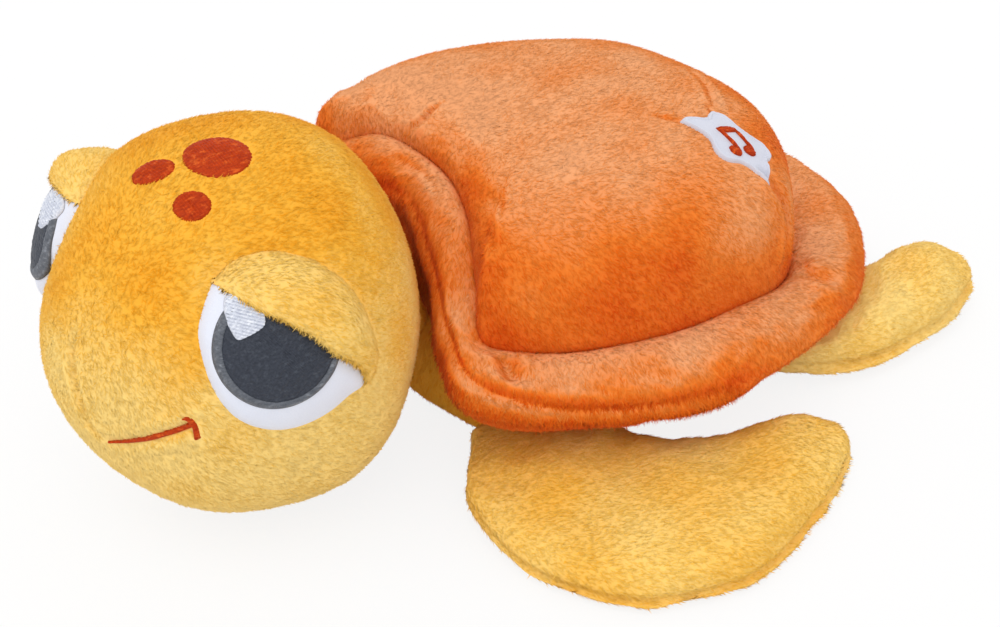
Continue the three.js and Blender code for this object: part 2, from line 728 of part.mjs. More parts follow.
function addSoundUnit() {
  const plastic = material('plastic', 0.5);
  const inner = caseRadius - caseWall;
  // Cup with a ledge that carries the board and a round opening for the hatch
  addMesh(unitGroup, 'sound_case', turned([
    [hatchRadius + restGap, caseBottom], [caseRadius, caseBottom], [caseRadius, caseTop],
    [inner, caseTop], [inner, boardBottom - restGap], [boardRadius - caseWall,
      boardBottom - restGap], [boardRadius - caseWall, caseBottom + caseWall + hatchLip],
    [hatchRadius + restGap, caseBottom + caseWall + hatchLip],
    [hatchRadius + restGap, caseBottom]]), plastic);
  addMesh(unitGroup, 'sound_lid', turned([
    [buttonRadius + buttonPlay, lidTop - caseWall], [caseRadius, lidTop - caseWall],
    [caseRadius, lidTop], [buttonRadius + buttonPlay, lidTop],
    [buttonRadius + buttonPlay, lidTop - caseWall]]), plastic);
  const stemRadius = switchSide / 2;
  const flangeTop = lidTop - caseWall - restGap;
  const switchTop = boardTop + restGap + switchHeight;
  addMesh(unitGroup, 'sound_button', turned([
    [0, switchTop + restGap + buttonTravel], [stemRadius, switchTop + restGap + buttonTravel],
    [stemRadius, flangeTop - buttonFlange], [buttonRadius + caseWall, flangeTop - buttonFlange],
    [buttonRadius + caseWall, flangeTop], [buttonRadius, flangeTop],
    [buttonRadius, -buttonDepth - buttonFlange], [buttonRadius - buttonFlange, -buttonDepth],
    [0, -buttonDepth]]), material('dark', 0.6));
  addMesh(unitGroup, 'circuit_board', disc(boardRadius, boardBottom, boardTop),
    material('board', 0.6));
  const press = new THREE.BoxGeometry(switchSide, switchSide, switchHeight);
  addMesh(unitGroup, 'press_switch', press, material('dark', 0.6))
    .position.set(0, 0, boardTop + restGap + switchHeight / 2);
  const magnetRadius = speakerRadius * speakerMagnetShare;
  addMesh(unitGroup, 'speaker', turned([
    [0, boardTop + restGap], [magnetRadius, boardTop + restGap],
    [magnetRadius, boardTop + restGap + speakerHeight / 2],
    [speakerRadius, boardTop + restGap + speakerHeight / 2],
    [speakerRadius, boardTop + restGap + speakerHeight], [0, boardTop + restGap
      + speakerHeight]]), material('metal', 0.4, 0.8)).position.set(speakerOffset, 0, 0);
  for (let cell = 0; cell < cellCount; cell += 1) {
    const angle = cell * 2 * Math.PI / cellCount;
    addMesh(unitGroup, `button_cell_${cell + 1}`,
      disc(cellRadius, boardBottom - restGap - cellHeight, boardBottom - restGap),
      material('metal', 0.3, 0.9))
      .position.set(cellOffset * Math.cos(angle), cellOffset * Math.sin(angle), 0);
  }
  const hatchTop = caseBottom + caseWall;
  const hatchHole = solid(disc(screwRadius + restGap, caseBottom - overrun,
    hatchTop + overrun));
  const headHole = solid(disc(screwHeadRadius + restGap, caseBottom - overrun,
    caseBottom + screwHeadThick));
  addMesh(unitGroup, 'battery_hatch', geometryOf(minus(
    solid(disc(hatchRadius, caseBottom, hatchTop)), hatchHole, headHole)), plastic);
  addMesh(unitGroup, 'hatch_screw', turned([
    [0, caseBottom], [screwHeadRadius, caseBottom],
    [screwHeadRadius, caseBottom + screwHeadThick - restGap],
    [screwRadius, caseBottom + screwHeadThick - restGap],
    [screwRadius, caseBottom + screwLength - screwRadius], [0, caseBottom + screwLength]]),
  material('metal', 0.4, 0.9));
}

// Pocket in the stuffing, open towards the cloth
function unitPocket() {
  return solid(disc(caseRadius + restGap, caseBottom - restGap, overrun)
    .applyMatrix4(unitGroup.matrixWorld));
}

// Assembly

const turtle = new THREE.Group();
const grooves = [frontFlipper, rearFlipper].flatMap((plan) => {
  const groove = hingeGroove(plan);
  return [solid(groove), solid(mirrored(groove))];
});

addMesh(turtle, 'shell_dome', domeCover(), material('shell'));
addMesh(turtle, 'shell_rim', geometryOf(minus(solid(rimRoll()), neckHollow(neckPlace))),
  material('shell'));
addMesh(turtle, 'belly_cover',
  geometryOf(minus(bellyCover(), neckHollow(neckPlace), ...grooves)), material('skin'));
addMesh(turtle, 'body_filling',
  geometryOf(minus(bodyFilling(), neckHollow(neckPlace), unitPocket(), ...grooves)),
  material('filling'));
addMesh(turtle, 'neck', ball(neckRadius, neckPlace), material('skin'));

turtle.add(headGroup);
const headHollow = neckHollow(neckInHead);
addMesh(headGroup, 'head_cover',
  geometryOf(minus(headBlock(0), headBlock(-fabric), headHollow)), material('skin'));
addMesh(headGroup, 'head_filling',
  geometryOf(minus(headBlock(-fabric - restGap), headHollow)), material('filling'));
for (const [name, [shape, colour]] of Object.entries(eyePieces())) {
  const geometry = geometryOf(shape);
  addMesh(headGroup, `${name}_left`, geometry, material(colour));
  addMesh(headGroup, `${name}_right`, mirrored(geometry), material(colour));
}
for (const spot of spots) {
  addMesh(headGroup, spot.name, geometryOf(headPatch(spot)), material('spot'));
}
addMesh(headGroup, 'mouth_stitch', mouthLine(), material('spot'));

for (const [place, plan] of [['front', frontFlipper], ['rear', rearFlipper]]) {
  for (const side of ['left', 'right']) {
    const bend = place === 'rear' && side === 'right' ? rearRightBendAngle : 0;
    const toSide = side === 'right' ? mirrored : (geometry) => geometry;
    const hollow = flipperBlock(plan, fabric, bend, hingeRadius + overrun);
    const cover = flipperBlock(plan, 0, bend).subtract(hollow);
    const filling = flipperBlock(plan, fabric + restGap, bend, restGap);
    addMesh(turtle, `${place}_flipper_${side}`, toSide(geometryOf(cover)), material('skin'));
    addMesh(turtle, `${place}_flipper_filling_${side}`, toSide(geometryOf(filling)),
      material('filling'));
  }
}

addMesh(turtle, 'badge_patch', geometryOf(domePatch([lobedDisc()], restGap, patchThick)),
  material('badge'));
addMesh(turtle, 'badge_notes', geometryOf(domePatch(noteShapes(),
  2 * restGap + patchThick, patchThick / 2)), material('spot'));
turtle.add(unitGroup);
addSoundUnit();

// The origin is under the middle of the whole turtle, on the ground
const box = new THREE.Box3().setFromObject(turtle, true);
const middle = box.getCenter(new THREE.Vector3());
const part = new THREE.Group();
part.add(turtle);
turtle.position.set(-middle.x, -middle.y, -box.min.z);

export default part;
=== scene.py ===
import math

import bpy
import numpy as np
from mathutils import Matrix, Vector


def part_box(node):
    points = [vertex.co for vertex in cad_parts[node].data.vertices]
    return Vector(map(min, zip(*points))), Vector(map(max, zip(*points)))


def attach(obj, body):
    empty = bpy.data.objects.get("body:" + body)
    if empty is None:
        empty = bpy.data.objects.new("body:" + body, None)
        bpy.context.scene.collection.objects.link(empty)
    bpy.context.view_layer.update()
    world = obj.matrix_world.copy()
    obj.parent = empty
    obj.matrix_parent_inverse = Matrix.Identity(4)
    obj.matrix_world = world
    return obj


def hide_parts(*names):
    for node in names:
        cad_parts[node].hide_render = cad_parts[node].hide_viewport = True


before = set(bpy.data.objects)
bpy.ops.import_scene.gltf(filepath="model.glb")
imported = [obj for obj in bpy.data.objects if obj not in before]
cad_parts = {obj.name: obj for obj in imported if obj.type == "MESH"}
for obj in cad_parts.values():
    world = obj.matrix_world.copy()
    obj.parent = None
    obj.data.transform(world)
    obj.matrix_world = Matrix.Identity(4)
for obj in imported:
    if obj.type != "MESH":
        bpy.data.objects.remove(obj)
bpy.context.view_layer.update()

# Plush sea turtle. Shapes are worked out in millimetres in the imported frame, where the turtle
# faces -Y, and are turned to metres when a mesh is made.
mm = 0.001
up = np.array([0.0, 0.0, 1.0])


# Vectors and curves

def unit(v):
    return v / np.maximum(np.linalg.norm(v, axis=-1, keepdims=True), 1e-9)


def dot(a, b):
    return np.sum(a * b, axis=-1, keepdims=True)


def mix(a, b, t):
    return a + (b - a) * t


def smooth(t):
    # 0 below 0, 1 above 1 and an S between
    t = np.clip(t, 0, 1)
    return t * t * (3 - 2 * t)


def around(count):
    # Angles of a full turn in even steps
    return np.linspace(0, 2 * math.pi, count, endpoint=False)


def turnAbout(axis, angle):
    # Matrix that turns by an angle in degrees about an axis, after Rodrigues
    x, y, z = unit(np.array(axis, float))
    c, s = math.cos(math.radians(angle)), math.sin(math.radians(angle))
    cross = np.array([[0, -z, y], [z, 0, -x], [-y, x, 0]])
    return np.eye(3) + s * cross + (1 - c) * cross @ cross


def blended(p0, p1, p2, p3, t):
    # Uniform Catmull-Rom cubic between p1 and p2
    return 0.5 * (2 * p1 + (p2 - p0) * t + (2 * p0 - 5 * p1 + 4 * p2 - p3) * t ** 2
                  + (3 * p1 - p0 - 3 * p2 + p3) * t ** 3)


def closedCurve(points):
    # Smooth closed curve through points, as a function of the share of the way round
    points = np.array(points, float)

    def at(share):
        place = np.mod(share, 1) * len(points)
        first = np.floor(place).astype(int)
        near = [points[(first + k) % len(points)] for k in (-1, 0, 1, 2)]
        return blended(*near, (place - first)[..., None])
    return at


def openCurve(points):
    # Smooth curve through points, as a function of the share of the way from end to end
    points = np.array(points, float)
    before, after = 2 * points[0] - points[1], 2 * points[-1] - points[-2]
    points = np.concatenate([before[None], points, after[None]])

    def at(share):
        place = np.asarray(np.clip(share, 0, 1) * (len(points) - 3))
        first = np.minimum(np.floor(place).astype(int), len(points) - 4)
        near = [points[first + k] for k in range(4)]
        return blended(*near, (place - first)[..., None])
    return at


def openPath(points, count):
    # Even samples of an open curve, ends included
    return openCurve(points)(np.linspace(0, 1, count))


def closedPath(points, count):
    # Even samples of a closed curve
    return closedCurve(points)(np.linspace(0, 1, count, endpoint=False))


def waves(points, size, seed, count=14):
    # Smooth field near -1 to 1: a sum of plane waves a size long, in drawn directions
    draw = np.random.default_rng(seed)
    ways = unit(draw.normal(size=(count, 3))) * 2 * math.pi
    ways = ways / (size * draw.uniform(0.7, 1.6, (count, 1)))
    return np.sin(points @ ways.T + draw.uniform(0, 2 * math.pi, count)).sum(-1) / math.sqrt(count)


def distanceTo(path, points):
    # Distance from points to the nearest sample of a path, and that sample's share of it
    found = np.full(len(points), 1e9)
    share = np.zeros(len(points))
    for i, place in enumerate(path):
        far = np.linalg.norm(points - place, axis=1)
        nearer = far < found
        found[nearer] = far[nearer]
        share[nearer] = i / (len(path) - 1)
    return found, share


# Meshes

def gridFaces(rows, cols, wrapRows=False, wrapCols=True):
    # Four-sided faces of a grid whose rows run outwards from its points as they turn
    r = np.arange(rows if wrapRows else rows - 1)[:, None]
    c = np.arange(cols if wrapCols else cols - 1)[None]
    corners = [(i % rows) * cols + j % cols for i, j in ((r, c), (r + 1, c), (r + 1, c + 1), (r, c + 1))]
    return np.stack(corners, -1).reshape(-1, 4)


def fan(middle, ring, flip=False):
    # Triangles from a middle point to a ring of points
    after = np.roll(ring, -1)
    pair = (after, ring) if flip else (ring, after)
    return np.stack([np.full(len(ring), middle), *pair], -1)


def stacked(rings, first, last):
    # Closed skin over rings of equal count, with a point at each end
    rows, cols = rings.shape[:2]
    points = np.vstack([rings.reshape(-1, 3), [first, last]])
    ids = np.arange(rows * cols).reshape(rows, cols)
    return points, [gridFaces(rows, cols), fan(rows * cols, ids[0]),
                    fan(rows * cols + 1, ids[-1], True)]


def outward(points, faces):
    # Same faces, turned over if they enclose a negative volume
    volume = 0
    for group in faces:
        for k in range(1, group.shape[1] - 1):
            a, b, c = points[group[:, 0]], points[group[:, k]], points[group[:, k + 1]]
            volume += np.sum(a * np.cross(b, c))
    return faces if volume > 0 else [group[:, ::-1] for group in faces]


def normalsOf(points, faces):
    # Normal at each point, weighted by the areas of the faces round it
    normals = np.zeros_like(points)
    for group in faces:
        a, b, c = points[group[:, 0]], points[group[:, 1]], points[group[:, 2]]
        d = points[group[:, -1]]
        way = np.cross(c - a, d - b) if group.shape[1] == 4 else np.cross(b - a, c - a)
        for k in range(group.shape[1]):
            np.add.at(normals, group[:, k], way)
    return unit(normals)


def meshObject(name, points, faces, materials=(), slots=None):
    # Smooth mesh from points in millimetres and groups of faces of like sides
    mesh = bpy.data.meshes.new(name)
    sides = np.concatenate([np.full(len(g), g.shape[1]) for g in faces])
    corners = np.concatenate([g.ravel() for g in faces]).astype(np.int32)
    mesh.vertices.add(len(points))
    mesh.vertices.foreach_set("co", (points * mm).astype(np.float32).ravel())
    mesh.loops.add(len(corners))
    mesh.loops.foreach_set("vertex_index", corners)
    mesh.polygons.add(len(sides))
    starts = (np.cumsum(sides) - sides).astype(np.int32)
    mesh.polygons.foreach_set("loop_start", starts)
    mesh.polygons.foreach_set("use_smooth", np.ones(len(sides), bool))
    for material in materials:
        mesh.materials.append(material)
    if slots is not None:
        mesh.polygons.foreach_set("material_index", slots.astype(np.int32))
    mesh.update(calc_edges=True)
    piece = bpy.data.objects.new(name, mesh)
    bpy.context.scene.collection.objects.link(piece)
    return piece


def readBack(piece):
    # Points in millimetres and faces of a piece as its modifiers leave it
    seen = piece.evaluated_get(bpy.context.evaluated_depsgraph_get())
    mesh = seen.to_mesh()
    points = np.empty(len(mesh.vertices) * 3)
    mesh.vertices.foreach_get("co", points)
    corners = np.empty(len(mesh.loops), int)
    mesh.loops.foreach_get("vertex_index", corners)
    sides = np.empty(len(mesh.polygons), int)
    starts = np.empty(len(mesh.polygons), int)
    mesh.polygons.foreach_get("loop_total", sides)
    mesh.polygons.foreach_get("loop_start", starts)
    faces = [corners[starts[sides == n][:, None] + np.arange(n)] for n in np.unique(sides)]
    seen.to_mesh_clear()
    return points.reshape(-1, 3) / mm, faces


def discard(piece):
    # Takes away a draft and its mesh
    mesh = piece.data
    bpy.data.objects.remove(piece)
    bpy.data.meshes.remove(mesh)


def finer(points, faces, levels=1):
    # Catmull-Clark subdivision of the faces
    draft = meshObject("draft", points, faces)
    cut = draft.modifiers.new("finer", "SUBSURF")
    cut.levels = cut.render_levels = levels
    points, faces = readBack(draft)
    discard(draft)
    return points, faces


cloth = {"frames": 20, "pressure": 4, "mass": 0.3, "stiff": 15, "bend": 0.6, "grow": -0.02,
         "quality": 6}


def stuffed(name, points, faces, held, most):
    # Inflates a skin as cloth. held, from 0 to 1, pins its points at their seams, and no
    # point moves further than most.
    draft = meshObject("draft", points, faces)
    group = draft.vertex_groups.new(name="seams")
    for level in np.unique(np.round(held, 1)):
        if level > 0:
            group.add(np.flatnonzero(np.round(held, 1) == level).tolist(), float(level), "REPLACE")
    swell = draft.modifiers.new("swell", "CLOTH")
    settings = swell.settings
    settings.vertex_group_mass = "seams"
    settings.use_pressure = True
    settings.uniform_pressure_force = cloth["pressure"]
    settings.mass = cloth["mass"]
    settings.tension_stiffness = settings.compression_stiffness = cloth["stiff"]
    settings.shear_stiffness = cloth["stiff"] / 2
    settings.bending_stiffness = cloth["bend"]
    settings.shrink_min = settings.shrink_max = cloth["grow"]
    settings.effector_weights.gravity = 0
    settings.quality = cloth["quality"]
    swell.point_cache.frame_start, swell.point_cache.frame_end = 1, cloth["frames"]
    scene = bpy.context.scene
    for step in range(1, cloth["frames"] + 1):
        scene.frame_set(step)
    swollen, _ = readBack(draft)
    discard(draft)
    scene.frame_set(1)
    moved = swollen - points
    size = np.linalg.norm(moved, axis=1, keepdims=True)
    print(f"  {name} swelled by up to {size.max():.1f} mm, {np.median(size):.1f} in the middle")
    return points + moved * np.minimum(1, most / np.maximum(size, 1e-9))


# Shell outlines, from the front middle round by the turtle's left

shell = {
    "width": 188, "length": 184, "height": 101, "crownForward": 24, "fullness": 3.2,
    "topPuff": 0.23, "underPuff": 0.18,
    "crease": [(0, -.75, .86), (.26, -.77, .81), (.47, -.83, .65), (.62, -.85, .54),
               (.78, -.46, .53), (.75, 0, .5), (.55, .43, .44), (0, .65, .42)],
    "creaseCorner": [(.3, -.83, .85), (.54, -.93, .72), (.7, -.93, .58), (.79, -.48, .54)],
    "rim": [(0, -.89, .66), (.28, -.93, .56), (.53, -1, .46), (.79, -.97, .43),
            (1, -.41, .37), (.97, .09, .34), (.65, .69, .32), (0, 1, .31)],
    "bellyTop": [(0, -.83, .45), (.23, -.83, .41), (.45, -.8, .33), (.56, -.72, .27),
                 (.64, -.37, .24), (.61, .04, .23), (.45, .41, .22), (0, .57, .22)],
    "neck": {"radius": 20, "forward": 2, "height": 42},
}
neckLow, neckHigh = (np.array(corner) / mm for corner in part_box("neck"))
neckMiddle = (neckLow + neckHigh) / 2
# The ground under the middle of the shell
shellPlace = neckMiddle + (0, shell["length"] / 2 + shell["neck"]["forward"], -shell["neck"]["height"])


def outline(name, corner=()):
    # Closed curve through places on the left and their mirrored ones, the first of which may
    # have places of their own
    half = np.array([shell["width"] / 2, shell["length"] / 2, shell["height"]])
    left = np.array(shell[name])
    right = left[1:-1] * (-1, 1, 1)
    right[:len(corner)] = np.array(corner).reshape(-1, 3) * (-1, 1, 1)
    return closedCurve(np.vstack([left, right[::-1]]) * half + shellPlace)


creaseAt = outline("crease", shell["creaseCorner"])
rimAt = outline("rim")
bellyTopAt = outline("bellyTop")


def outFrom(at, share):
    # Level direction out of an outline
    along = at(share + 0.01) - at(share - 0.01)
    return unit(np.stack([along[..., 1], -along[..., 0], 0 * along[..., 0]], -1))


crown = shellPlace + (0, -shell["crownForward"], shell["height"])


def domeAt(share, angle, inset=0.0):
    # Fuller ellipse from the crown at angle 0 down to the crease at 90
    base = creaseAt(share) - outFrom(creaseAt, share) * inset
    out = np.sin(np.radians(angle))[..., None] ** (2 / shell["fullness"])
    high = np.cos(np.radians(angle))[..., None] ** (2 / shell["fullness"])
    place = crown + (base - crown) * out
    place[..., 2:] = base[..., 2:] + (crown[2] - inset - base[..., 2:]) * high
    return place


# Materials

def tone(red, green, blue):
    # Linear colour from a screen's numbers, 0 to 255, by the sRGB curve
    value = np.array([red, green, blue]) / 255
    linear = np.where(value < 0.04, value / 12.92, ((value + 0.055) / 1.055) ** 2.4)
    return (*linear, 1.0)


class Wire:  # an output socket, on which sums and products add Math nodes
    def __init__(self, tree, socket=None):
        self.tree, self.socket = tree, socket

    def make(self, kind, settings=None, sockets=None, out=0):
        # Any node: its settings first, then the values or links of its sockets
        node = self.tree.nodes.new(kind)
        for key, value in (settings or {}).items():
            setattr(node, key, value)
        for key, value in (sockets or {}).items():
            if isinstance(value, Wire):
                self.tree.links.new(value.socket, node.inputs[key])
            else:
                node.inputs[key].default_value = value
        return Wire(self.tree, node.outputs[out])

    def maths(self, operation, a, b):
        return self.make("ShaderNodeMath", {"operation": operation}, {0: a, 1: b})

    def __add__(self, other):
        return self.maths("ADD", self, other)

    def __mul__(self, other):
        return self.maths("MULTIPLY", self, other)

    def __sub__(self, other):
        return self.maths("SUBTRACT", self, other)

    def __rsub__(self, other):
        return self.maths("SUBTRACT", other, self)

    __radd__, __rmul__ = __add__, __mul__

    def blend(self, first, second):
        # Colour between two, by this value
        sockets = {0: self, 6: first, 7: second}
        return self.make("ShaderNodeMix", {"data_type": "RGBA", "clamp_factor": True}, sockets, 2)

    def noise(self, scale, detail=2.0, rough=0.5, stretch=(1, 1, 1), turn=(0, 0, 0)):
        # Noise on Object coordinates in metres, drawn out along an axis where stretch is small
        spot = self.make("ShaderNodeTexCoord", out=3)
        spot = self.make("ShaderNodeMapping", {"vector_type": "TEXTURE"}, {
            "Vector": spot, "Rotation": [math.radians(a) for a in turn],
            "Scale": [1 / s for s in stretch]})
        return self.make("ShaderNodeTexNoise", None, {
            "Vector": spot, "Scale": scale, "Detail": detail, "Roughness": rough})


def material(name, paint, **constants):
    # A Principled material. paint returns what varies over the surface, by socket, and a
    # height in metres under "bump".
    made = bpy.data.materials.new(name)
    made.use_nodes = True
    tree = made.node_tree
    shader = tree.nodes["Principled BSDF"]
    for key, value in constants.items():
        shader.inputs[key.replace("_", " ")].default_value = value
    for key, value in paint(Wire(tree)).items():
        if key == "bump":
            value = value.make("ShaderNodeBump", None, {"Height": value, "Distance": 1.0})
            key = "Normal"
        tree.links.new(value.socket, shader.inputs[key])
    made.diffuse_color = shader.inputs["Base Color"].default_value
    return made


softShine = {"Sheen_Weight": 0.12, "Sheen_Roughness": 0.5, "Specular_IOR_Level": 0.1}


def plush(name, tones, sheen):
    # Cloth under the pile, in the pile's own tones: its "pale" attribute takes it from the
    # deep one at 0 over the middle one to the pale one at 1. The attribute holds painted
    # highlights and painted shade besides brushed patches.
    def paint(w):
        level = w.make("ShaderNodeAttribute", {"attribute_name": "pale"}, out=2) * 2
        fibres = w.noise(900, 2, 0.6)
        level = level + (fibres - 0.5) * 0.4
        body = level.blend(tone(*tones[0]), tone(*tones[2]))
        return {"Base Color": (level - 1).blend(body, tone(*tones[4])), "bump": fibres * 0.0004}
    return material(name, paint, Base_Color=tone(*tones[2]), Roughness=0.9, Sheen_Tint=tone(*sheen),
                    **softShine)


def fibres(name, tones, sheen, count=9):
    # The shades of a pile's own fibres, from deep to pale, and their shine where they graze.
    # Each tuft takes the shade of its place, so these shades also carry painted highlight and painted
    # shade.
    made = []
    for number, step in enumerate(np.linspace(0, len(tones) - 1, count)):
        first = min(int(step), len(tones) - 2)
        colour = mix(np.array(tones[first]), np.array(tones[first + 1]), step - first)
        made.append(material(f"{name}_pile_{number + 1}", lambda w: {}, Base_Color=tone(*colour),
                             Roughness=0.85, Sheen_Tint=tone(*sheen), **softShine))
    return made


def smoothCloth(name, colour, shade):
    # Knitted cloth with a fine grain
    def paint(w):
        grain = w.noise(2600, 2)
        soft = w.noise(60, 2)
        body = grain.blend(tone(*shade), tone(*colour))
        return {"Base Color": (soft * 0.5).blend(body, tone(*shade)), "bump": grain * 0.00012}
    return material(name, paint, Base_Color=tone(*colour), Roughness=0.75, Sheen_Weight=0.15,
                    Specular_IOR_Level=0.3)


def thread(name, colour, dark, light, turn, shine):
    # Embroidery thread: short strands a few tenths of a millimetre wide, light and dark
    def paint(w):
        strands = w.noise(1500, 2, 0.6, (1, 0.28, 1), (0, 0, turn))
        body = (strands * 2.2 - 0.6).blend(tone(*dark), tone(*colour))
        lit = (w.noise(700, 2, 0.6, (1, 0.4, 1), (0, 0, turn)) - 0.55) * 4
        return {"Base Color": lit.blend(body, tone(*light)), "bump": strands * 0.0002}
    return material(name, paint, Base_Color=tone(*colour), Roughness=0.5,
                    Specular_IOR_Level=shine)


# Each plush goes from its deep tone to its pale one. Besides brushed patches, the pale end paints
# a highlight where a skin faces up and bounce light under the head, and the deep end paints
# shade in creases, the rim's seam, the collar and under the rim.
plushTones = {
    "plush_yellow": ([(235, 145, 14), (240, 160, 34), (243, 178, 60), (246, 196, 92), (249, 212, 126)],
                     (250, 214, 142)),
    "plush_orange": ([(214, 72, 2), (228, 100, 16), (232, 122, 42), (234, 143, 78), (236, 162, 110)],
                     (246, 180, 130)),
}
looks = {name: plush(name, *tones) for name, tones in plushTones.items()}
pileLooks = {name: fibres(name, *tones) for name, tones in plushTones.items()}
looks |= {
    "eye_white": smoothCloth("eye_white_cloth", (232, 234, 243), (214, 218, 232)),
    "badge_white": smoothCloth("badge_cloth", (216, 218, 228), (196, 198, 212)),
    "eye_iris": thread("iris_thread", (58, 63, 74), (40, 44, 54), (72, 78, 88), 40, 0.25),
    "eye_ring": thread("ring_thread", (104, 108, 116), (74, 78, 86), (136, 140, 148), 0, 0.3),
    "eye_glint": thread("glint_thread", (226, 229, 238), (178, 184, 200), (246, 248, 252), 25, 0.4),
    "embroidery_red": thread("red_thread", (196, 64, 6), (152, 40, 2), (232, 106, 38), 10, 0.12),
}

print("materials made")


# Studio

studio = {"turn": 64, "climb": 36, "distance": 760, "fieldAngle": 26, "target": (0, -2.96, 20),
          "sensor": 36, "skyLevel": 0.9, "sunLevel": 1.05, "sunAngle": 50,
          "sunTurn": 46, "sunClimb": 62, "floorSize": 6000, "floorTone": 0.86, "floorGlow": 0.85,
          "nearest": 0.01, "farthest": 50}


def wayTo(turn, climb):
    # Direction from the turtle to a place at a turn round it and a climb over the ground
    a, e = math.radians(turn), math.radians(climb)
    return np.array([math.sin(a) * math.cos(e), -math.cos(a) * math.cos(e), math.sin(e)])


def aimed(piece, place, back):
    # Puts a lamp or camera at a place, looking against a direction
    right = unit(np.cross(up, back))
    top = np.cross(back, right)
    rows = [[right[i], top[i], back[i], place[i] * mm] for i in range(3)]
    piece.matrix_world = Matrix(rows + [[0, 0, 0, 1]])


def addStudio():
    scene = bpy.context.scene
    scene.view_settings.view_transform = "Standard"
    lens = bpy.data.cameras.new("camera")
    lens.sensor_width = studio["sensor"]
    lens.lens = studio["sensor"] / 2 / math.tan(math.radians(studio["fieldAngle"] / 2))
    lens.clip_start, lens.clip_end = studio["nearest"], studio["farthest"]
    camera = bpy.data.objects.new("camera", lens)
    scene.collection.objects.link(camera)
    back = wayTo(studio["turn"], studio["climb"])
    place = np.array(studio["target"]) + back * studio["distance"]
    aimed(camera, place, back)
    scene.camera = camera

    lamp = bpy.data.lights.new("sun", "SUN")
    lamp.energy, lamp.angle = studio["sunLevel"], math.radians(studio["sunAngle"])
    sun = bpy.data.objects.new("sun", lamp)
    scene.collection.objects.link(sun)
    aimed(sun, np.zeros(3), wayTo(studio["sunTurn"], studio["sunClimb"]))

    world = bpy.data.worlds.new("studio")
    world.use_nodes = True
    tree = world.node_tree
    sky = tree.nodes["Background"]
    sky.inputs["Color"].default_value = (1, 1, 1, 1)
    w = Wire(tree)
    rays = w.make("ShaderNodeLightPath")
    seen = rays
    for name in ("Is Glossy Ray", "Is Transmission Ray"):
        seen = seen.maths("MAXIMUM", seen, Wire(tree, rays.socket.node.outputs[name]))
    level = seen * (1 - studio["skyLevel"]) + studio["skyLevel"]
    tree.links.new(level.socket, sky.inputs["Strength"])
    scene.world = world

    side = studio["floorSize"] / 2
    points = np.array([(-side, -side, 0), (side, -side, 0), (side, side, 0), (-side, side, 0)], float)
    floor = meshObject("floor", points, [np.array([[0, 1, 2, 3]])])
    card = bpy.data.materials.new("pale_floor")
    card.use_nodes = True
    tree = card.node_tree
    w = Wire(tree)
    shader = tree.nodes["Principled BSDF"]
    shader.inputs["Base Color"].default_value = (*[studio["floorTone"]] * 3, 1)
    shader.inputs["Roughness"].default_value = 1.0
    glow = w.make("ShaderNodeEmission", None, {"Color": (1, 1, 1, 1), "Strength": 1.0})
    share = w.make("ShaderNodeLightPath") * studio["floorGlow"]
    both = w.make("ShaderNodeMixShader", None, {0: share, 1: Wire(tree, shader.outputs[0]), 2: glow})
    tree.links.new(both.socket, tree.nodes["Material Output"].inputs["Surface"])
    floor.data.materials.append(card)


addStudio()
print("studio made")


# Surface detail that every soft piece shares

def valley(points, faces, path, depth, width, lip=0.3, fade=0.15):
    # Sews a crease along a path: a groove of depth exp(-(distance / width)^2), with a low puffed
    # lip beside it, whose crest is 2.2 widths away. It fades out towards the ends of the path.
    # depth may be a list along it.
    far, share = distanceTo(path, points)
    depth = np.interp(share, np.linspace(0, 1, np.size(depth)), np.atleast_1d(depth))
    ends = smooth(np.minimum(share, 1 - share) / fade) if fade else 1
    groove = depth * np.exp(-(far / width) ** 2) * ends
    puff = lip * depth * np.exp(-((far - 2.2 * width) / width) ** 2) * ends
    return points + normalsOf(points, faces) * (puff - groove)[:, None]


def gathers(points, faces, path, depth, reach, length, seed):
    # Pulls in the cloth beside a seam in folds across it, about a length apart: depth
    # ((1 + sin phase) / 2)^2, whose phase runs unevenly along the seam
    far, share = distanceTo(path, points)
    whole = np.sum(np.linalg.norm(np.diff(path, axis=0), axis=1))
    draw = np.random.default_rng(seed)
    phase = 2 * math.pi * share * whole / length
    phase += 1.2 * np.sin(phase * 0.37 + draw.uniform(0, 6)) + draw.uniform(0, 6)
    pull = depth * (0.5 + 0.5 * np.sin(phase)) ** 2 * np.exp(-(far / reach) ** 2)
    return points - normalsOf(points, faces) * pull[:, None]


def lumps(points, faces, size, height, seed):
    # Uneven stuffing: a low smooth swell over the whole skin
    return points + normalsOf(points, faces) * (height * waves(points, size, seed))[:, None]


# Shell dome

dome = {
    "stations": 108, "rows": 24, "rowPower": 1.3, "gap": 0.7, "tuck": [(1.2, 2.5), (4, 6)],
    "wall": 2.2, "liningRows": 6, "liningTop": 0.15, "liningDrops": [[1], [4]], "swell": 0.8,
    "lump": 0.45, "lumpSize": 60,
    "bulges": [(0.73, 0.05, 1.2), (0.53, 0.08, -1.8), (0.62, 0.05, -0.6)],
    # Each crease: shares and angles along it, depth, half width, fade
    "creases": [([(.935, 31), (.948, 43), (.956, 53.5), (.96, 67), (.957, 83)], 1.9, 1.1, 0.3),
                ([(.535, 38), (.512, 33), (.495, 31.2), (.473, 29.7), (.446, 30.5)], 1.4, 1.6, 0.25),
                ([(.416, 48), (.415, 59.5), (.417, 67.3), (.417, 73.6), (.416, 78.8), (.413, 84),
                  (.411, 88)], 4.4, 1.6, 0.12)],
    "creaseLip": 0.4,
    # Puckers run out from two lobes of the badge
    "puckers": (3, 4), "puckerReach": (1.05, 1.75), "puckerDepth": 1.1, "puckerWide": 1.2,
    "puckerFade": 0.45,
}
pinPower = 0.7  # lets go of the cloth sooner beside its seams


def domeRow(share, angle, inset):
    # The dome at every share, in a row for each angle
    return domeAt(share[None], angle[:, None], inset)


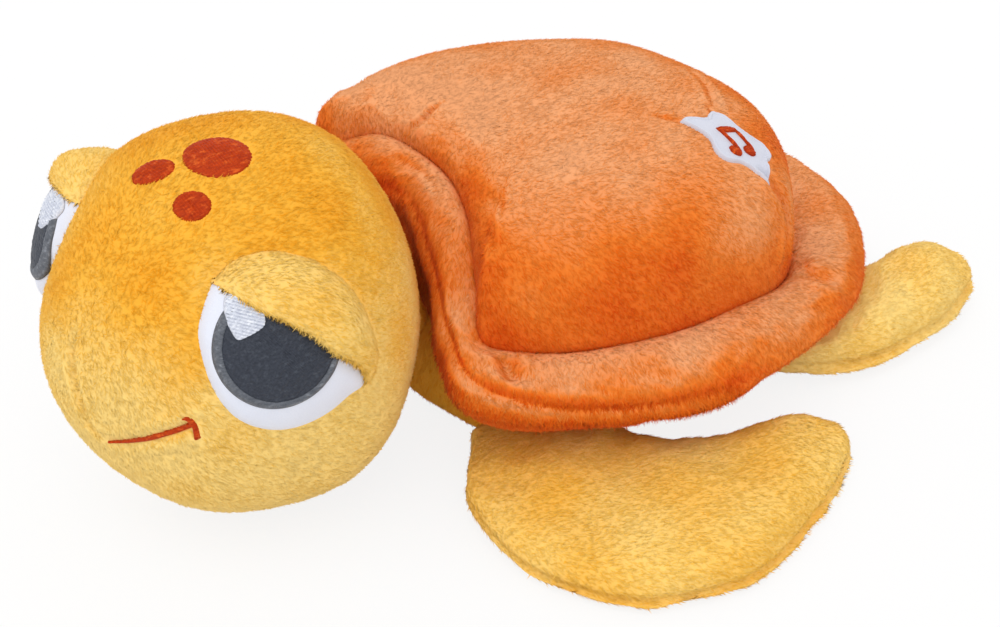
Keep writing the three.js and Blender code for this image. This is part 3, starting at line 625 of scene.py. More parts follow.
def makeDome():
    # Rows of the fuller ellipse, tucked under at the crease, then the lining back up inside
    share = np.arange(dome["stations"]) / dome["stations"]
    angle = 90 * ((np.arange(dome["rows"]) + 1) / dome["rows"]) ** dome["rowPower"]
    outer = domeRow(share, angle, dome["gap"])
    base, out = outer[-1], outFrom(creaseAt, share)
    tucks = [base - out * inward - up * drop for inward, drop in dome["tuck"]]
    lining = 90 * np.linspace(1, dome["liningTop"], dome["liningRows"])
    inner = domeRow(share, lining, dome["wall"])
    inner[:2, :, 2] = np.minimum(inner[:2, :, 2], tucks[-1][None, :, 2] + dome["liningDrops"])
    points, faces = stacked(np.vstack([outer, tucks, inner]), crown, crown - up * dome["wall"])
    faces = outward(points, faces)
    held = np.ones(len(points))
    free = np.sin(np.pi * np.clip(angle / 90, 0, 1)) ** pinPower
    held[:dome["rows"] * dome["stations"]] = 1 - np.repeat(free, dome["stations"])
    points = stuffed("shell_dome", points, faces, held, dome["swell"])
    # Fuller or flatter at a share of the way round: high exp(-(share / wide)^2) sin(2 angle)
    near = sum(high * np.exp(-((share[None] - at) / wide) ** 2) for at, wide, high in dome["bulges"])
    near = near * np.sin(2 * np.radians(angle))[:, None]
    swell = np.append(near.reshape(-1), np.zeros(len(points) - near.size))
    points = points + normalsOf(points, faces) * swell[:, None]
    points, faces = finer(points, faces, 2)
    points = lumps(points, faces, dome["lumpSize"], dome["lump"], 3)
    creases = []
    for line, depth, wide, fade in dome["creases"]:
        creases.append(domeAt(*openPath(line, 70).T))
        points = valley(points, faces, creases[-1], depth, wide, dome["creaseLip"], fade)
    for lobe in dome["puckers"]:
        creases.append(onDome(points, badgeRay(lobe, np.linspace(*dome["puckerReach"], 24))))
        points = valley(points, faces, creases[-1], dome["puckerDepth"], dome["puckerWide"],
                        dome["creaseLip"], dome["puckerFade"])
    return points, faces, np.vstack(creases)


# Shell rim

rim = {
    "stations": 150, "top": 13, "under": 7, "back": 4, "dive": 8.0, "lap": 2.2, "inset": 0.7,
    "slim": 1.8, "slimAt": 0.12, "slimWide": 0.06, "slimRise": 0.7, "topPower": 0.72,
    "lowGap": 0.3, "collarHalf": 0.185, "collarFade": 0.075, "seamSide": 0.88, "seamCollar": 0.56,
    "seamDepth": [0.8, 1.5, 1.0, 0.4, 1.0, 1.5, 0.8], "seamWide": 1.9, "seamEnd": 0.36,
    "swell": 0.9, "edgeFree": 1.3, "lump": 0.5, "lumpSize": 40,
    # Folds in the roll: shares of the way round, and from the crease to the edge
    "folds": [[(.226, .02), (.228, .18), (.231, .38), (.235, .55)],
              [(.425, .02), (.422, .2), (.42, .45), (.424, .74)]],
    "foldDepth": 2.4, "foldWide": 2.6,
}


def collarShare(share):
    # 1 along the collar behind the head, 0 along the sides and the rear
    away = np.abs(np.mod(share + 0.5, 1) - 0.5)
    return 1 - smooth((away - rim["collarHalf"]) / rim["collarFade"])


def rimSeamAt(share):
    # Where the rim's two cloths meet, as a share of the way from the crease to the edge
    return mix(rim["seamSide"], rim["seamCollar"], collarShare(share))


def rimEdge(share):
    # Outer edge, drawn in and up a little where the roll is slim, on both sides of the rear
    away = np.abs(np.mod(share, 1) - 0.5)
    slim = (rim["slim"] * np.exp(-((away - rim["slimAt"]) / rim["slimWide"]) ** 2))[..., None]
    inward = outFrom(rimAt, share) * (rim["inset"] + slim)
    return rimAt(share) - inward + up * slim * rim["slimRise"]


def rimTop(share, along):
    # Puffed strip from the crease to the outer edge: an arch on the chord between them
    start, end = creaseAt(share), rimEdge(share)
    way = end - start
    out = unit(way * (1, 1, 0))
    side = out * -way[..., 2:] + up * dot(way, out)
    arch = np.sin(np.pi * along)[..., None] ** rim["topPower"]
    return start + way * along[..., None] + side * shell["topPuff"] * arch


def rimSeam(count):
    # The seam over the collar and along the sides, where it ends
    share = np.linspace(-rim["seamEnd"], rim["seamEnd"], count)
    return rimTop(share, rimSeamAt(share))


def makeRim():
    # Sections round the roll: the arch with its seam, the arch below, then the hidden back
    share = np.arange(rim["stations"]) / rim["stations"]
    along = np.linspace(0, 1, rim["top"], endpoint=False)[1:]
    top = np.stack([rimTop(share, np.full_like(share, a)) for a in along], 1)
    top = np.concatenate([(creaseAt(share) - outFrom(creaseAt, share) * rim["lap"])[:, None], top], 1)
    along = np.concatenate([[0], along])
    start, end, low = creaseAt(share), rimEdge(share), bellyTopAt(share)
    low = low + outFrom(bellyTopAt, share) * rim["lowGap"]
    way = low - end
    out = unit((end - start) * (1, 1, 0))
    side = out * -way[:, 2:] + up * dot(way, out)
    turn = np.linspace(0, 1, rim["under"], endpoint=False)
    under = np.stack([end + way * t + side * shell["underPuff"] * math.sin(math.pi * t)
                      for t in turn], 1)
    deep = start - out * rim["lap"] * 2 - up * rim["dive"]
    back = np.stack([mix(low, deep, t) for t in np.linspace(0, 1, rim["back"])], 1)
    sections = np.concatenate([top, under, back], 1)
    cols = sections.shape[1]
    points = sections.reshape(-1, 3)
    faces = outward(points, [gridFaces(rim["stations"], cols, wrapRows=True)])
    free = np.zeros((rim["stations"], cols))
    seam = rimSeamAt(share)
    for k, a in enumerate(along):
        beyond = (a - seam) / (rim["edgeFree"] - seam)
        free[:, k] = np.sin(np.pi * np.where(a < seam, np.clip(a / seam, 0, 1), beyond))
    free[:, len(along):len(along) + rim["under"]] = np.sin(np.pi * mix(0.3, 1, turn))
    held = 1 - np.clip(free, 0, 1).reshape(-1) ** pinPower
    points = stuffed("shell_rim", points, faces, held, rim["swell"])
    points, faces = finer(points, faces, 2)
    points = lumps(points, faces, rim["lumpSize"], rim["lump"], 5)
    points = valley(points, faces, rimSeam(400), rim["seamDepth"], rim["seamWide"], 0.35, 0.1)
    for line in rim["folds"]:
        fold = rimTop(*openPath(line, 60).T)
        points = valley(points, faces, fold, rim["foldDepth"], rim["foldWide"], 0.5, 0.35)
    return points, faces


# Belly

belly = {"stations": 96, "rows": 16, "wall": 2.2, "innerRows": 5, "innerEnd": 0.92, "topGap": 0.3,
         "ringShares": [.99, .85, .62], "ringHeights": [10, 0.8, 0],
         "chest": 12, "chestWide": 0.1, "chestAt": 0.36, "chestTall": 0.2}


def bellyProfile(share, t, inset):
    # Smooth way from the top edge down and under to the middle of the flat bottom
    top = bellyTopAt(share) - outFrom(bellyTopAt, share) * inset - up * belly["topGap"]
    rings = [top]
    for scale, height in zip(belly["ringShares"], belly["ringHeights"]):
        ring = shellPlace + (top - shellPlace) * (scale, scale, 0)
        rings.append(ring + up * (height + inset))
    rings.append(0 * top + shellPlace + up * inset)
    place = openCurve(np.stack(rings))(t)
    # Comes forward under the collar: chest exp(-(share / wide)^2 - ((t - at) / tall)^2)
    away = (np.mod(share + 0.5, 1) - 0.5) / belly["chestWide"]
    chest = belly["chest"] * np.exp(-away ** 2 - ((t - belly["chestAt"]) / belly["chestTall"]) ** 2)
    place = place + outFrom(bellyTopAt, share) * chest[:, None]
    place[..., 2] = np.maximum(place[..., 2], inset)
    return place


def makeBelly():
    # The profile carried round the outline, outside and again a wall further in
    share = np.arange(belly["stations"]) / belly["stations"]
    outer = [bellyProfile(share, t, 0) for t in np.linspace(0, 1, belly["rows"], endpoint=False)]
    inner = [bellyProfile(share, t, belly["wall"])
             for t in np.linspace(belly["innerEnd"], 0, belly["innerRows"])]
    rings = np.array(outer[::-1] + inner[::-1])
    points, faces = stacked(rings, shellPlace, shellPlace + up * belly["wall"])
    return finer(points, outward(points, faces))


# Head

head = {
    "size": (115, 127, 130), "shift": 21, "reach": 55, "lift": 1.5, "turn": 23.5, "roll": 2,
    "chinFall": 37, "chinTaper": 0.04, "cells": 22, "swell": 1.6, "lump": 0.8,
    # Pressed by "flat" where it meets the collar, and fuller by "cheek" under it
    "flatWay": (0.38, 0.89, 0.25), "flat": 3.0, "flatFrom": 0.62,
    "cheekWay": (0.677, 0.449, -0.566), "cheek": 2.6, "cheekWide": 0.08,
    "loose": 0.55, "heldReach": 4, "lumpSize": 55, "dartDepth": 1.9, "dartWide": 1.6,
    "mouthDepth": 1.0, "mouthWide": 2.0,
    # Seam from the forehead to the mouth, and the mouth: pairs of turn and climb
    "dart": [(-5.2, 27.3), (-5.6, 17.8), (-4.5, 9.5), (-3.1, 2.5), (-1.7, -4.6), (-0.6, -8.3),
             (2.2, -10.6), (6.5, -11.5)],
    "mouth": [(6.5, -11.5), (11.5, -9.4), (17, -6.6), (23.5, -3.3), (28.2, -0.6), (33.5, 2.3),
              (37.6, 4.9)],
}
headMiddle = neckMiddle + (head["shift"], -head["reach"],
                           head["size"][2] / 2 + head["lift"] - neckMiddle[2])
headTurn = turnAbout(up, head["turn"]) @ turnAbout((0, 1, 0), head["roll"])


def fromHead(points):
    # Places about the head's middle, brought into the frame
    return points @ headTurn.T + headMiddle


def wayOf(turn, climb):
    # Direction on the head at a turn to its left and a climb, from the tip of the nose
    t, c = np.radians(turn), np.radians(climb)
    return np.stack([np.sin(t) * np.cos(c), -np.cos(t) * np.cos(c), np.sin(c)], -1)


def headAt(way):
    # Ellipsoid, narrower by a taper times the square of how it faces the chin
    way = unit(np.asarray(way, float))
    fall = math.radians(head["chinFall"])
    chin = np.clip(dot(way, np.array([0, -math.cos(fall), -math.sin(fall)])), 0, None)
    return way * (np.array(head["size"]) / 2 * (1 - head["chinTaper"] * chin ** 2))


def cubeBall(cells):
    # Directions over a ball as six square grids whose lines are even in angle
    line = np.tan(np.linspace(-math.pi / 4, math.pi / 4, cells + 1))
    a, b = [g.ravel() for g in np.meshgrid(line, line, indexing="ij")]
    one = np.ones_like(a)
    sides = [(one, a, b), (-one, b, a), (b, one, a), (a, -one, b), (a, b, one), (b, a, -one)]
    ways = unit(np.concatenate([np.stack(side, -1) for side in sides]))
    _, first, index = np.unique(np.round(ways, 6), axis=0, return_index=True, return_inverse=True)
    count = (cells + 1) ** 2
    grid = gridFaces(cells + 1, cells + 1, wrapCols=False)
    faces = np.concatenate([index.ravel()[grid + count * side] for side in range(6)])
    return ways[first], [faces]


def onHead(pairs):
    # Places on the head from pairs of turn and climb, in the frame
    turn, climb = np.array(pairs, float).T
    return fromHead(headAt(wayOf(turn, climb)))


def makeHead():
    # The ellipsoid, moved outwards by cheek exp((cos - 1) / wide) and inwards by flat S(cos),
    # with the cosines to two ways and S the smooth step
    ways, faces = cubeBall(head["cells"])
    points = fromHead(headAt(ways))
    level = unit(points - headMiddle)
    toCollar = dot(level, unit(np.array(head["flatWay"])))
    pressed = smooth((toCollar - head["flatFrom"]) / (1 - head["flatFrom"]))
    full = np.exp((dot(level, unit(np.array(head["cheekWay"]))) - 1) / head["cheekWide"])
    points = points + level * (head["cheek"] * full - head["flat"] * pressed)
    faces = outward(points, faces)
    near, _ = distanceTo(openPath(onHead(head["dart"]), 40), points)
    held = np.where(near < head["heldReach"], 1.0, head["loose"])
    points = stuffed("head_cover", points, faces, held, head["swell"])
    points, faces = finer(points, faces, 2)
    points = lumps(points, faces, head["lumpSize"], head["lump"], 8)
    dart = openPath(onHead(head["dart"]), 60)
    points = valley(points, faces, dart, head["dartDepth"], head["dartWide"], 0.4, 0.2)
    smile = openPath(onHead(head["mouth"]), 80)
    return valley(points, faces, smile, head["mouthDepth"], head["mouthWide"], 0.3, 0.1), faces


# Flat places carried down on to a finished piece

farAbove = 150.0


def landed(x, y, axes, origin, target):
    # Height over a plane, along its third axis, where the lines through places on it meet
    # a piece
    places = np.stack([x.ravel(), y.ravel(), np.full(x.size, farAbove)], -1)
    draft = meshObject("draft", places, [np.zeros((0, 3), int)])
    rows = [[*(axes[k][i] for k in range(3)), origin[i] * mm] for i in range(3)]
    draft.matrix_world = Matrix(rows + [[0, 0, 0, 1]])
    press = draft.modifiers.new("press", "SHRINKWRAP")
    press.target = target
    press.wrap_method = "PROJECT"
    press.use_project_z = press.use_negative_direction = True
    press.use_positive_direction = False
    points, _ = readBack(draft)
    discard(draft)
    return points[:, 2].reshape(x.shape)


def fromPlane(points, axes, origin):
    # Places in the part's frame of points given along axes from an origin
    return points @ axes + origin


def headAxes(turn, climb, left=True):
    # Axes at a place on the head: to its back, up and outwards. The right side is mirrored.
    out = wayOf(turn, climb)
    back = np.array([math.cos(math.radians(turn)), math.sin(math.radians(turn)), 0])
    rows = np.stack([back, np.cross(out, back), out])
    if not left:
        rows = rows * (-1, 1, 1) * [[-1], [1], [1]]
    return rows @ headTurn.T


def layer(x, y, top, low):
    # Closed thin layer over a grid of rings of places, with heights for its two sides. The
    # hidden one has a quarter of the rings.
    upper, under = np.stack([x, y, top], -1), np.stack([x, y, low], -1)[::-1]
    return stacked(np.vstack([upper[1:], under[:-1:4]]), upper[0, 0], under[-1, 0])


def ringsTo(border, middle, rows, power=1.0):
    # Places on rings from a middle to a closed border, given as points
    share = np.linspace(0, 1, rows)[:, None, None] ** power
    place = np.array(middle) + (border - np.array(middle)) * share
    return place[..., 0], place[..., 1], share[..., 0] + 0 * place[..., 0]


def rowsOf(x, y, turn, pitch, seed):
    # Height of embroidery from 0 to 1: rows |sin(pi across / pitch)|^0.8 of threads, each in
    # stitches of 6 pitches that start at their own places
    a = math.radians(turn)
    across, along = x * math.cos(a) + y * math.sin(a), y * math.cos(a) - x * math.sin(a)
    row = np.floor(across / pitch)
    draw = np.sin(row * 12.9898 + seed) * 43758.5453
    start = draw - np.floor(draw)
    ridge = np.abs(np.sin(math.pi * across / pitch)) ** 0.8
    ends = np.abs(np.sin(math.pi * (along / (6 * pitch) + start)))
    return ridge * (0.5 + 0.5 * smooth(ends * 3))


# Eyes, drawn on the turtle's left and mirrored, on a plane that faces the eye: x to the
# back of the head, y up

eye = {
    "turn": 65, "climb": 26, "bulge": 8, "sewn": 1.2, "groundHalf": 30,
    "white": [(-18.1, 22.7), (-22.2, 16.9), (-25.4, 10.3), (-26, 3.9), (-25.2, -4.4), (-22.8, -12.3),
              (-18.4, -19.1), (-12, -23.9), (-4.7, -26.5), (2.7, -26.7), (10.2, -25),
              (17.4, -21.6), (22.8, -19.9), (25, -14), (26, -7.5), (25, 1), (20.5, 10),
              (13, 18), (3.8, 23.2), (-2.8, 24.8), (-9.5, 24.6), (-14.8, 23.6)],
    "lidOuter": [(-18.6, 23), (-10.8, 27.4), (-2.9, 28.3), (4.4, 26.7), (14.3, 21.1), (22.5, 12),
                 (27.4, 1.2), (28.6, -8.8), (27.2, -16.6), (23.3, -20.4)],
    "lidEdge": [(-18.4, 22.8), (-13.6, 19.9), (-8.2, 15.6), (-2.4, 11.3), (3.6, 6.3), (8.8, 1.1),
                (12.8, -3.7), (18, -9.2), (21.6, -14.6), (23.1, -20.2)],
    "lidThick": 4.0, "lidPuff": 1.6, "lidOver": 0.8, "lidRows": 22, "lidStations": 84,
    "openRight": 0.14, "turnedRight": 2.2, "deep": 2.2, "lump": 0.18, "lumpSize": 12,
    "irisRadius": 16.4, "iris": (-5, 1.8), "irisRow": 0.22, "irisPitch": 0.66, "irisSlant": 38,
    "ringWide": 2.7, "ringLap": 0.4, "ringLow": 0.1, "ringHigh": 0.95, "spokes": 620,
    "thread": 0.55, "threadEdge": 0.2, "glintLow": 0.4, "glintRow": 0.6, "glintPitch": 0.95,
    "glint": [(-16.4, 18.9), (-17.7, 16.4), (-18.3, 13), (-17.8, 9.6), (-16.7, 6.9), (-14.2, 7.2),
              (-10.6, 8.4), (-8.5, 9.8), (-7.9, 12.6), (-7.7, 17), (-9.8, 19.4), (-13.4, 19.9)],
}
eyeOutline = closedPath(eye["white"], 720)


def shareOf(x, y, border):
    # Share of the way from the middle of the eye's plane to a border, in any direction
    turn = np.arctan2(border[:, 1], border[:, 0])
    order = np.argsort(turn)
    radius = np.interp(np.arctan2(y, x), turn[order], np.hypot(*border[order].T), period=2 * math.pi)
    return np.hypot(x, y) / radius


def padLift(x, y):
    # Height of the stuffed white over the head: bulge (1 - share^3)^0.6
    return eye["bulge"] * np.clip(1 - shareOf(x, y, eyeOutline) ** 3, 0, 1) ** 0.6


def eyeGround(target, left):
    # Height of the head under an eye: a polynomial of degree 4 through places on it, so that
    # the eye doesn't repeat each lump
    half = eye["groundHalf"]
    line = np.linspace(-half, half, 16)
    x, y = [g.ravel() for g in np.meshgrid(line, line)]
    near = np.hypot(x, y) < half * 1.1
    x, y = x[near], y[near]
    axes = headAxes(eye["turn"], eye["climb"], left)
    z = landed(x if left else -x, y, axes, headMiddle, target)

    def terms(x, y):
        return np.stack([(x / half) ** i * (y / half) ** j for i in range(5) for j in range(5 - i)], -1)
    fit = np.linalg.lstsq(terms(x, y), z, rcond=None)[0]
    return lambda x, y: terms(x, y) @ fit


def flatWaves(x, y, size, seed):
    # The smooth field over a plane
    return waves(np.stack([x, y, 0 * x], -1), size, seed)


def eyeWhite(ground):
    # The stuffed pad: its lift and slight lumps over the ground, sewn down at the border
    x, y, share = ringsTo(closedPath(eye["white"], 168), (0, 0), 44, 0.8)
    swell = eye["lump"] * flatWaves(x, y, eye["lumpSize"], 11)
    puff = padLift(x, y) + swell * np.clip(4 - 4 * share, 0, 1)
    base = ground(x, y)
    top = base + puff - eye["sewn"] * smooth((share - 0.93) / 0.07)
    return layer(x, y, top, base - eye["deep"])


def irisDisc(ground):
    # Disc of stitches in rows aslant over the pad
    turn = around(340)
    border = eye["irisRadius"] * np.stack([np.cos(turn), np.sin(turn)], -1) + eye["iris"]
    x, y, share = ringsTo(border, eye["iris"], 58)
    stitches = rowsOf(x, y, eye["irisSlant"], eye["irisPitch"], 1.0) * eye["irisRow"]
    stitches = stitches + 0.1 * flatWaves(x, y, 1.6, 17)
    base = ground(x, y) + padLift(x, y)
    thick = np.where(share > 0.995, eye["threadEdge"], eye["thread"] + stitches)
    return layer(x, y, base + thick, base - 0.5)


def irisRing(ground):
    # Satin ring: a section low + (high + satin) sin(pi t)^0.6 high, whose threads run across it
    turn, t = around(eye["spokes"])[:, None], np.linspace(0, 1, 9)[None]
    radius = eye["irisRadius"] - eye["ringLap"] + eye["ringWide"] * t + 0 * turn
    satin = 0.16 * np.abs(np.sin(turn * 75 + t * 1.2)) + 0.1 * np.sin(turn * 47) * np.sin(turn * 31 + 1)
    x, y = radius * np.cos(turn) + eye["iris"][0], radius * np.sin(turn) + eye["iris"][1]
    base = ground(x, y) + padLift(x, y)
    high = (eye["ringHigh"] + satin) * np.sin(np.pi * t) ** 0.6
    top = np.stack([x, y, base + eye["ringLow"] + high], -1)
    low = np.stack([x, y, base - 0.4], -1)[:, ::-1]
    sections = np.concatenate([top, low[:, 1:-1]], 1)
    return sections.reshape(-1, 3), [gridFaces(eye["spokes"], sections.shape[1], wrapRows=True)]


def eyeGlint(ground):
    # Satin patch in rows |sin(pi (0.42 x + 0.91 y) / pitch)|^0.7, thin at its border
    x, y, share = ringsTo(closedPath(eye["glint"], 200), np.mean(eye["glint"], 0), 36)
    stitches = np.abs(np.sin(math.pi * (x * 0.42 + y * 0.91) / eye["glintPitch"])) ** 0.7
    base = ground(x, y) + padLift(x, y)
    thick = np.where(share > 0.99, eye["threadEdge"], eye["glintLow"] + eye["glintRow"] * stitches)
    return layer(x, y, base + eye["thread"] + thick, base + 0.1)


def eyelid(ground, opened):
    # Sections from the sewn outer border over the puffed top, round a rolled edge and back
    # underneath: height (pad + thickness)(1 - v^2)^0.75 at share v from the edge
    u = np.linspace(0.004, 0.996, eye["lidStations"])[:, None]
    edge, outer = openCurve(eye["lidEdge"])(u), openCurve(eye["lidOuter"])(u)
    edge = mix(edge, outer, opened * np.sin(np.pi * u)[..., None] ** 0.7)
    across = unit(outer - edge)
    roll = eye["lidThick"] / 2 * (0.12 + 0.88 * np.sin(np.pi * u) ** 0.55)
    rise = padLift(edge[..., 0], edge[..., 1])

    def places(v):
        return edge + (outer - edge) * v[None, :, None]
    v = np.linspace(1, 0, eye["lidRows"])
    top = places(v)
    high = (rise + 2 * roll) * (1 - v ** 2) ** 0.75
    high = high + eye["lidPuff"] * np.sin(np.pi * v) * np.sin(np.pi * u)
    pad = padLift(top[..., 0], top[..., 1])
    high = np.maximum(high, pad + eye["lidOver"] * (1 - v ** 6))
    high = high - eye["sewn"] * smooth((v - 0.9) / 0.1)
    turn = np.radians(np.linspace(75, -90, 8))
    front = edge - across * (roll * np.cos(turn))[..., None]
    frontHigh = rise + roll + roll * np.sin(turn)
    v = np.linspace(0, 0.97, 8)
    under = places(v)
    low = np.minimum(padLift(under[..., 0], under[..., 1]), rise * (1 - v ** 2.4)) - 0.6 - 1.4 * v ** 4
    flat = np.concatenate([top, front, under], 1)
    z = ground(flat[..., 0], flat[..., 1]) + np.concatenate([high, frontHigh, low], 1)
    sections = np.concatenate([flat, z[..., None]], -1)
    return stacked(sections, sections[0].mean(0), sections[-1].mean(0))


def makeEye(target, left):
    # The five pieces of an eye, in the frame
    ground = eyeGround(target, left)
    axes = headAxes(eye["turn"], eye["climb"], left)
    pieces = {}
    makers = {"eye_white": eyeWhite, "iris": irisDisc, "iris_edge": irisRing, "eye_glint": eyeGlint,
              "eyelid": lambda over: eyelid(over, 0 if left else eye["openRight"])}
    for kind, maker in makers.items():
        moved = 0 if left or kind not in ("iris", "iris_edge", "eye_glint") else eye["turnedRight"]

        def under(x, y):
            return ground(x - moved, y) + padLift(x - moved, y) - padLift(x, y)
        points, faces = maker(under)
        points[:, 0] -= moved
        points = fromPlane(points * (1 if left else -1, 1, 1), axes, headMiddle)
        if kind == "eyelid":
            points, faces = finer(points, outward(points, faces), 1)
            points = lumps(points, faces, 16, 0.3, 41)
        pieces[kind] = points, faces
    return pieces


def eyeCover(points, left):
    # Share of the way from the middle of an eye to its border, over places on the head
    axes = headAxes(eye["turn"], eye["climb"], left)
    x, y, z = ((points - headMiddle) @ axes.T).T
    border = closedPath(np.vstack([eye["white"][:13], eye["lidOuter"][::-1]]), 720)
    share = shareOf(x if left else -x, y, border)
    return np.where(z > 0, share, 9.0)


# Embroidery on the head and on the dome

stitch = {"lift": 0.6, "row": 0.32, "pitch": 0.95, "under": 1.6, "edge": 0.22, "cell": 0.3,
          "spotSlant": 35}
# Each spot: turn, climb, slant, and its long and short half
spots = {"middle": (28, 83.5, 13, 10.2, 9.4), "right": (-17.5, 69, 67, 6.7, 4.8),
         "left": (25, 65.5, 16, 5.6, 4.9)}
mouth = {"width": 1.9, "lift": 0.9, "turn": 17, "climb": -3, "step": 0.16, "stitch": 0.55,
         "satin": 0.14, "under": 1.2, "uneven": 0.05, "thinStart": 0.3, "thinLong": 0.6,
         "tick": [(34.9, 6.6), (36.4, 6.4), (38.2, 4.3), (38.9, 0.4)], "tickWidth": 1.6}


def patch(border, middle, axes, origin, target, slant, seed, lift):
    # Stitched patch inside a closed border, in rows aslant, whose ends leave the border uneven
    draw = np.random.default_rng(seed)
    middle = np.array(middle, float)
    radius = np.linalg.norm(border - middle, axis=1, keepdims=True)
    uneven = 1 + stitch["edge"] * draw.uniform(-1, 1, radius.shape) / np.maximum(radius, 1)
    rows = max(int(np.max(radius) / stitch["cell"]), 6)
    x, y, share = ringsTo(middle + (border - middle) * uneven, middle, rows)
    base = landed(x, y, axes, origin, target)
    rounded = np.sqrt(np.clip(1 - share ** 8, 0, 1))
    top = base + lift * rounded + stitch["row"] * rowsOf(x, y, slant, stitch["pitch"], seed) * rounded
    points, faces = layer(x, y, top, base - stitch["under"])
    return fromPlane(points, axes, origin), faces


def ovalBorder(long, short, slant, x=0.0, y=0.0, count=220):
    # Border of an oval with two half axes, turned by a slant about its middle
    a = around(count)
    c, s = math.cos(math.radians(slant)), math.sin(math.radians(slant))
    px, py = long * np.cos(a), short * np.sin(a)
    return np.stack([x + px * c - py * s, y + px * s + py * c], -1)


def bar(start, end, width):
    # Border of a stitched bar with rounded corners: a circle whose sine and cosine are each
    # taken to the power 0.3
    start, end = np.array(start, float), np.array(end, float)
    way = unit(end - start)
    side = np.array([-way[1], way[0]]) * width / 2
    a = around(144)
    sx = np.sign(np.cos(a)) * np.abs(np.cos(a)) ** 0.3
    sy = np.sign(np.sin(a)) * np.abs(np.sin(a)) ** 0.3
    return (start + end) / 2 + sx[:, None] * (end - start) / 2 + sy[:, None] * side


def joined(parts):
    # One mesh from several
    points, faces, start = [], [], 0
    for p, groups in parts:
        faces += [g + start for g in outward(p, groups)]
        points.append(p)
        start += len(p)
    return np.vstack(points), faces


def satinLine(pairs, width, target):
    # Satin stitches across a line on the head, through pairs of turn and climb, that starts
    # thin: each section is half round, with height (lift + satin |sin|) sqrt(1 - s^2)
    axes = headAxes(mouth["turn"], mouth["climb"])
    flat = (onHead(pairs) - headMiddle) @ axes.T
    length = np.linalg.norm(np.diff(flat, axis=0), axis=1).sum()
    count = int(length / mouth["step"])
    t = np.linspace(0, 1, count)
    path = openCurve(flat[:, :2])(t)
    way = unit(np.gradient(path, axis=0))
    side = np.stack([-way[:, 1], way[:, 0]], -1)
    thin = mouth["thinStart"]
    wide = width / 2 * (thin + (1 - thin) * smooth(t / mouth["thinLong"] + 0.1))
    draw = np.random.default_rng(9)
    wide = wide * (1 + mouth["uneven"] * draw.uniform(-1, 1, count))
    s = np.linspace(-1, 1, 9)
    place = path[:, None] + side[:, None] * (wide[:, None] * s)[..., None]
    base = landed(place[..., 0], place[..., 1], axes, headMiddle, target)
    satin = mouth["satin"] * np.abs(np.sin(math.pi * t * length / mouth["stitch"]))[:, None]
    rounded = np.sqrt(np.clip(1 - s ** 2, 0, 1))
    top = np.concatenate([place, (base + (mouth["lift"] + satin) * rounded)[..., None]], -1)
    low = np.concatenate([place, (base - mouth["under"])[..., None]], -1)[:, ::-1]
    sections = np.concatenate([top, low[:, 1:-1]], 1)
    points, faces = stacked(sections, sections[0].mean(0), sections[-1].mean(0))
    return fromPlane(points, axes, headMiddle), faces


badge = {"share": 0.415, "angle": 37, "radius": 16, "lobes": 5, "middle": 0.84, "lobe": 0.36,
         "drawnIn": 0.62, "drawnTurn": -55, "shift": (-3.2, 3.2), "notesTurn": 95, "lift": 1.0,
         "under": 1.6, "satinAt": 0.94, "satinWide": 0.06, "satinHigh": 0.5, "satinRow": 0.12,
         "satinRows": 110, "notesLift": 1.7, "headLong": 3.4, "headShort": 2.5, "headSlant": 20,
         "stem": 13, "stemWide": 1.6, "apart": 9, "beam": 3, "beamIn": 0.4, "slant": 8}


def badgeFrame():
    # The badge's middle on the dome, and its axes: the upright ones tipped to its outward way
    share, angle = badge["share"], badge["angle"]
    place, beside, above = domeAt(np.array([share, share + 0.001, share]),
                                  np.array([angle, angle, angle * 0.999]))
    out = unit(np.cross(beside - place, above - place))
    out = out if out[2] > 0 else -out
    tip = turnAbout(np.cross(up, out), math.degrees(math.acos(out[2])))
    return place, tip.T


def onBadge(places, turn=0):
    # Turns places on the badge's plane, draws them in along one direction and shifts them
    a, d = math.radians(turn), math.radians(badge["drawnTurn"])
    places = places @ np.array([[math.cos(a), math.sin(a)], [-math.sin(a), math.cos(a)]])
    way = np.array([math.cos(d), math.sin(d)])
    return places + (badge["drawnIn"] - 1) * (places @ way)[:, None] * way + badge["shift"]


def badgeBorder(grow=0.0):
    # Rounded star: radius (middle + lobe ((1 + cos(lobes a)) / 2)^1.5)
    a = around(300)
    star = badge["middle"] + badge["lobe"] * (0.5 + 0.5 * np.cos(badge["lobes"] * a)) ** 1.5
    radius = badge["radius"] * star + grow
    return onBadge(np.stack([radius * np.sin(a), radius * np.cos(a)], -1))


def badgeRay(lobe, shares):
    # Places on the badge's plane along a lobe, at shares of the radius
    a = 2 * math.pi * lobe / badge["lobes"]
    return onBadge(badge["radius"] * shares[:, None] * np.array([math.sin(a), math.cos(a)]))


def onDome(points, places):
    # Points of the dome's skin over places on the badge's plane
    middle, axes = badgeFrame()
    flat = (points - middle) @ axes.T
    return np.array([points[np.argmin(np.hypot(*(flat[:, :2] - p).T) - 0.5 * flat[:, 2])]
                     for p in places])


def makeBadge(target):
    # The pale patch, with a half round satin border: height sqrt(1 - ((share - at) / wide)^2)
    place, axes = badgeFrame()
    x, y, share = ringsTo(badgeBorder(), badge["shift"], 52)
    base = landed(x, y, axes, place, target)
    turn = np.arctan2(y - badge["shift"][1], x - badge["shift"][0])
    rounded = np.clip(1 - ((share - badge["satinAt"]) / badge["satinWide"]) ** 2, 0, 1) ** 0.5
    border = smooth((share - 0.87) / 0.02) * rounded
    satin = badge["satinHigh"] + badge["satinRow"] * np.abs(np.sin(turn * badge["satinRows"]))
    top = base + badge["lift"] + 0.12 * flatWaves(x, y, 7, 51) + border * satin
    top = np.where(share > 0.995, base, top)
    points, faces = layer(x, y, top, base - badge["under"])
    return fromPlane(points, axes, place), faces


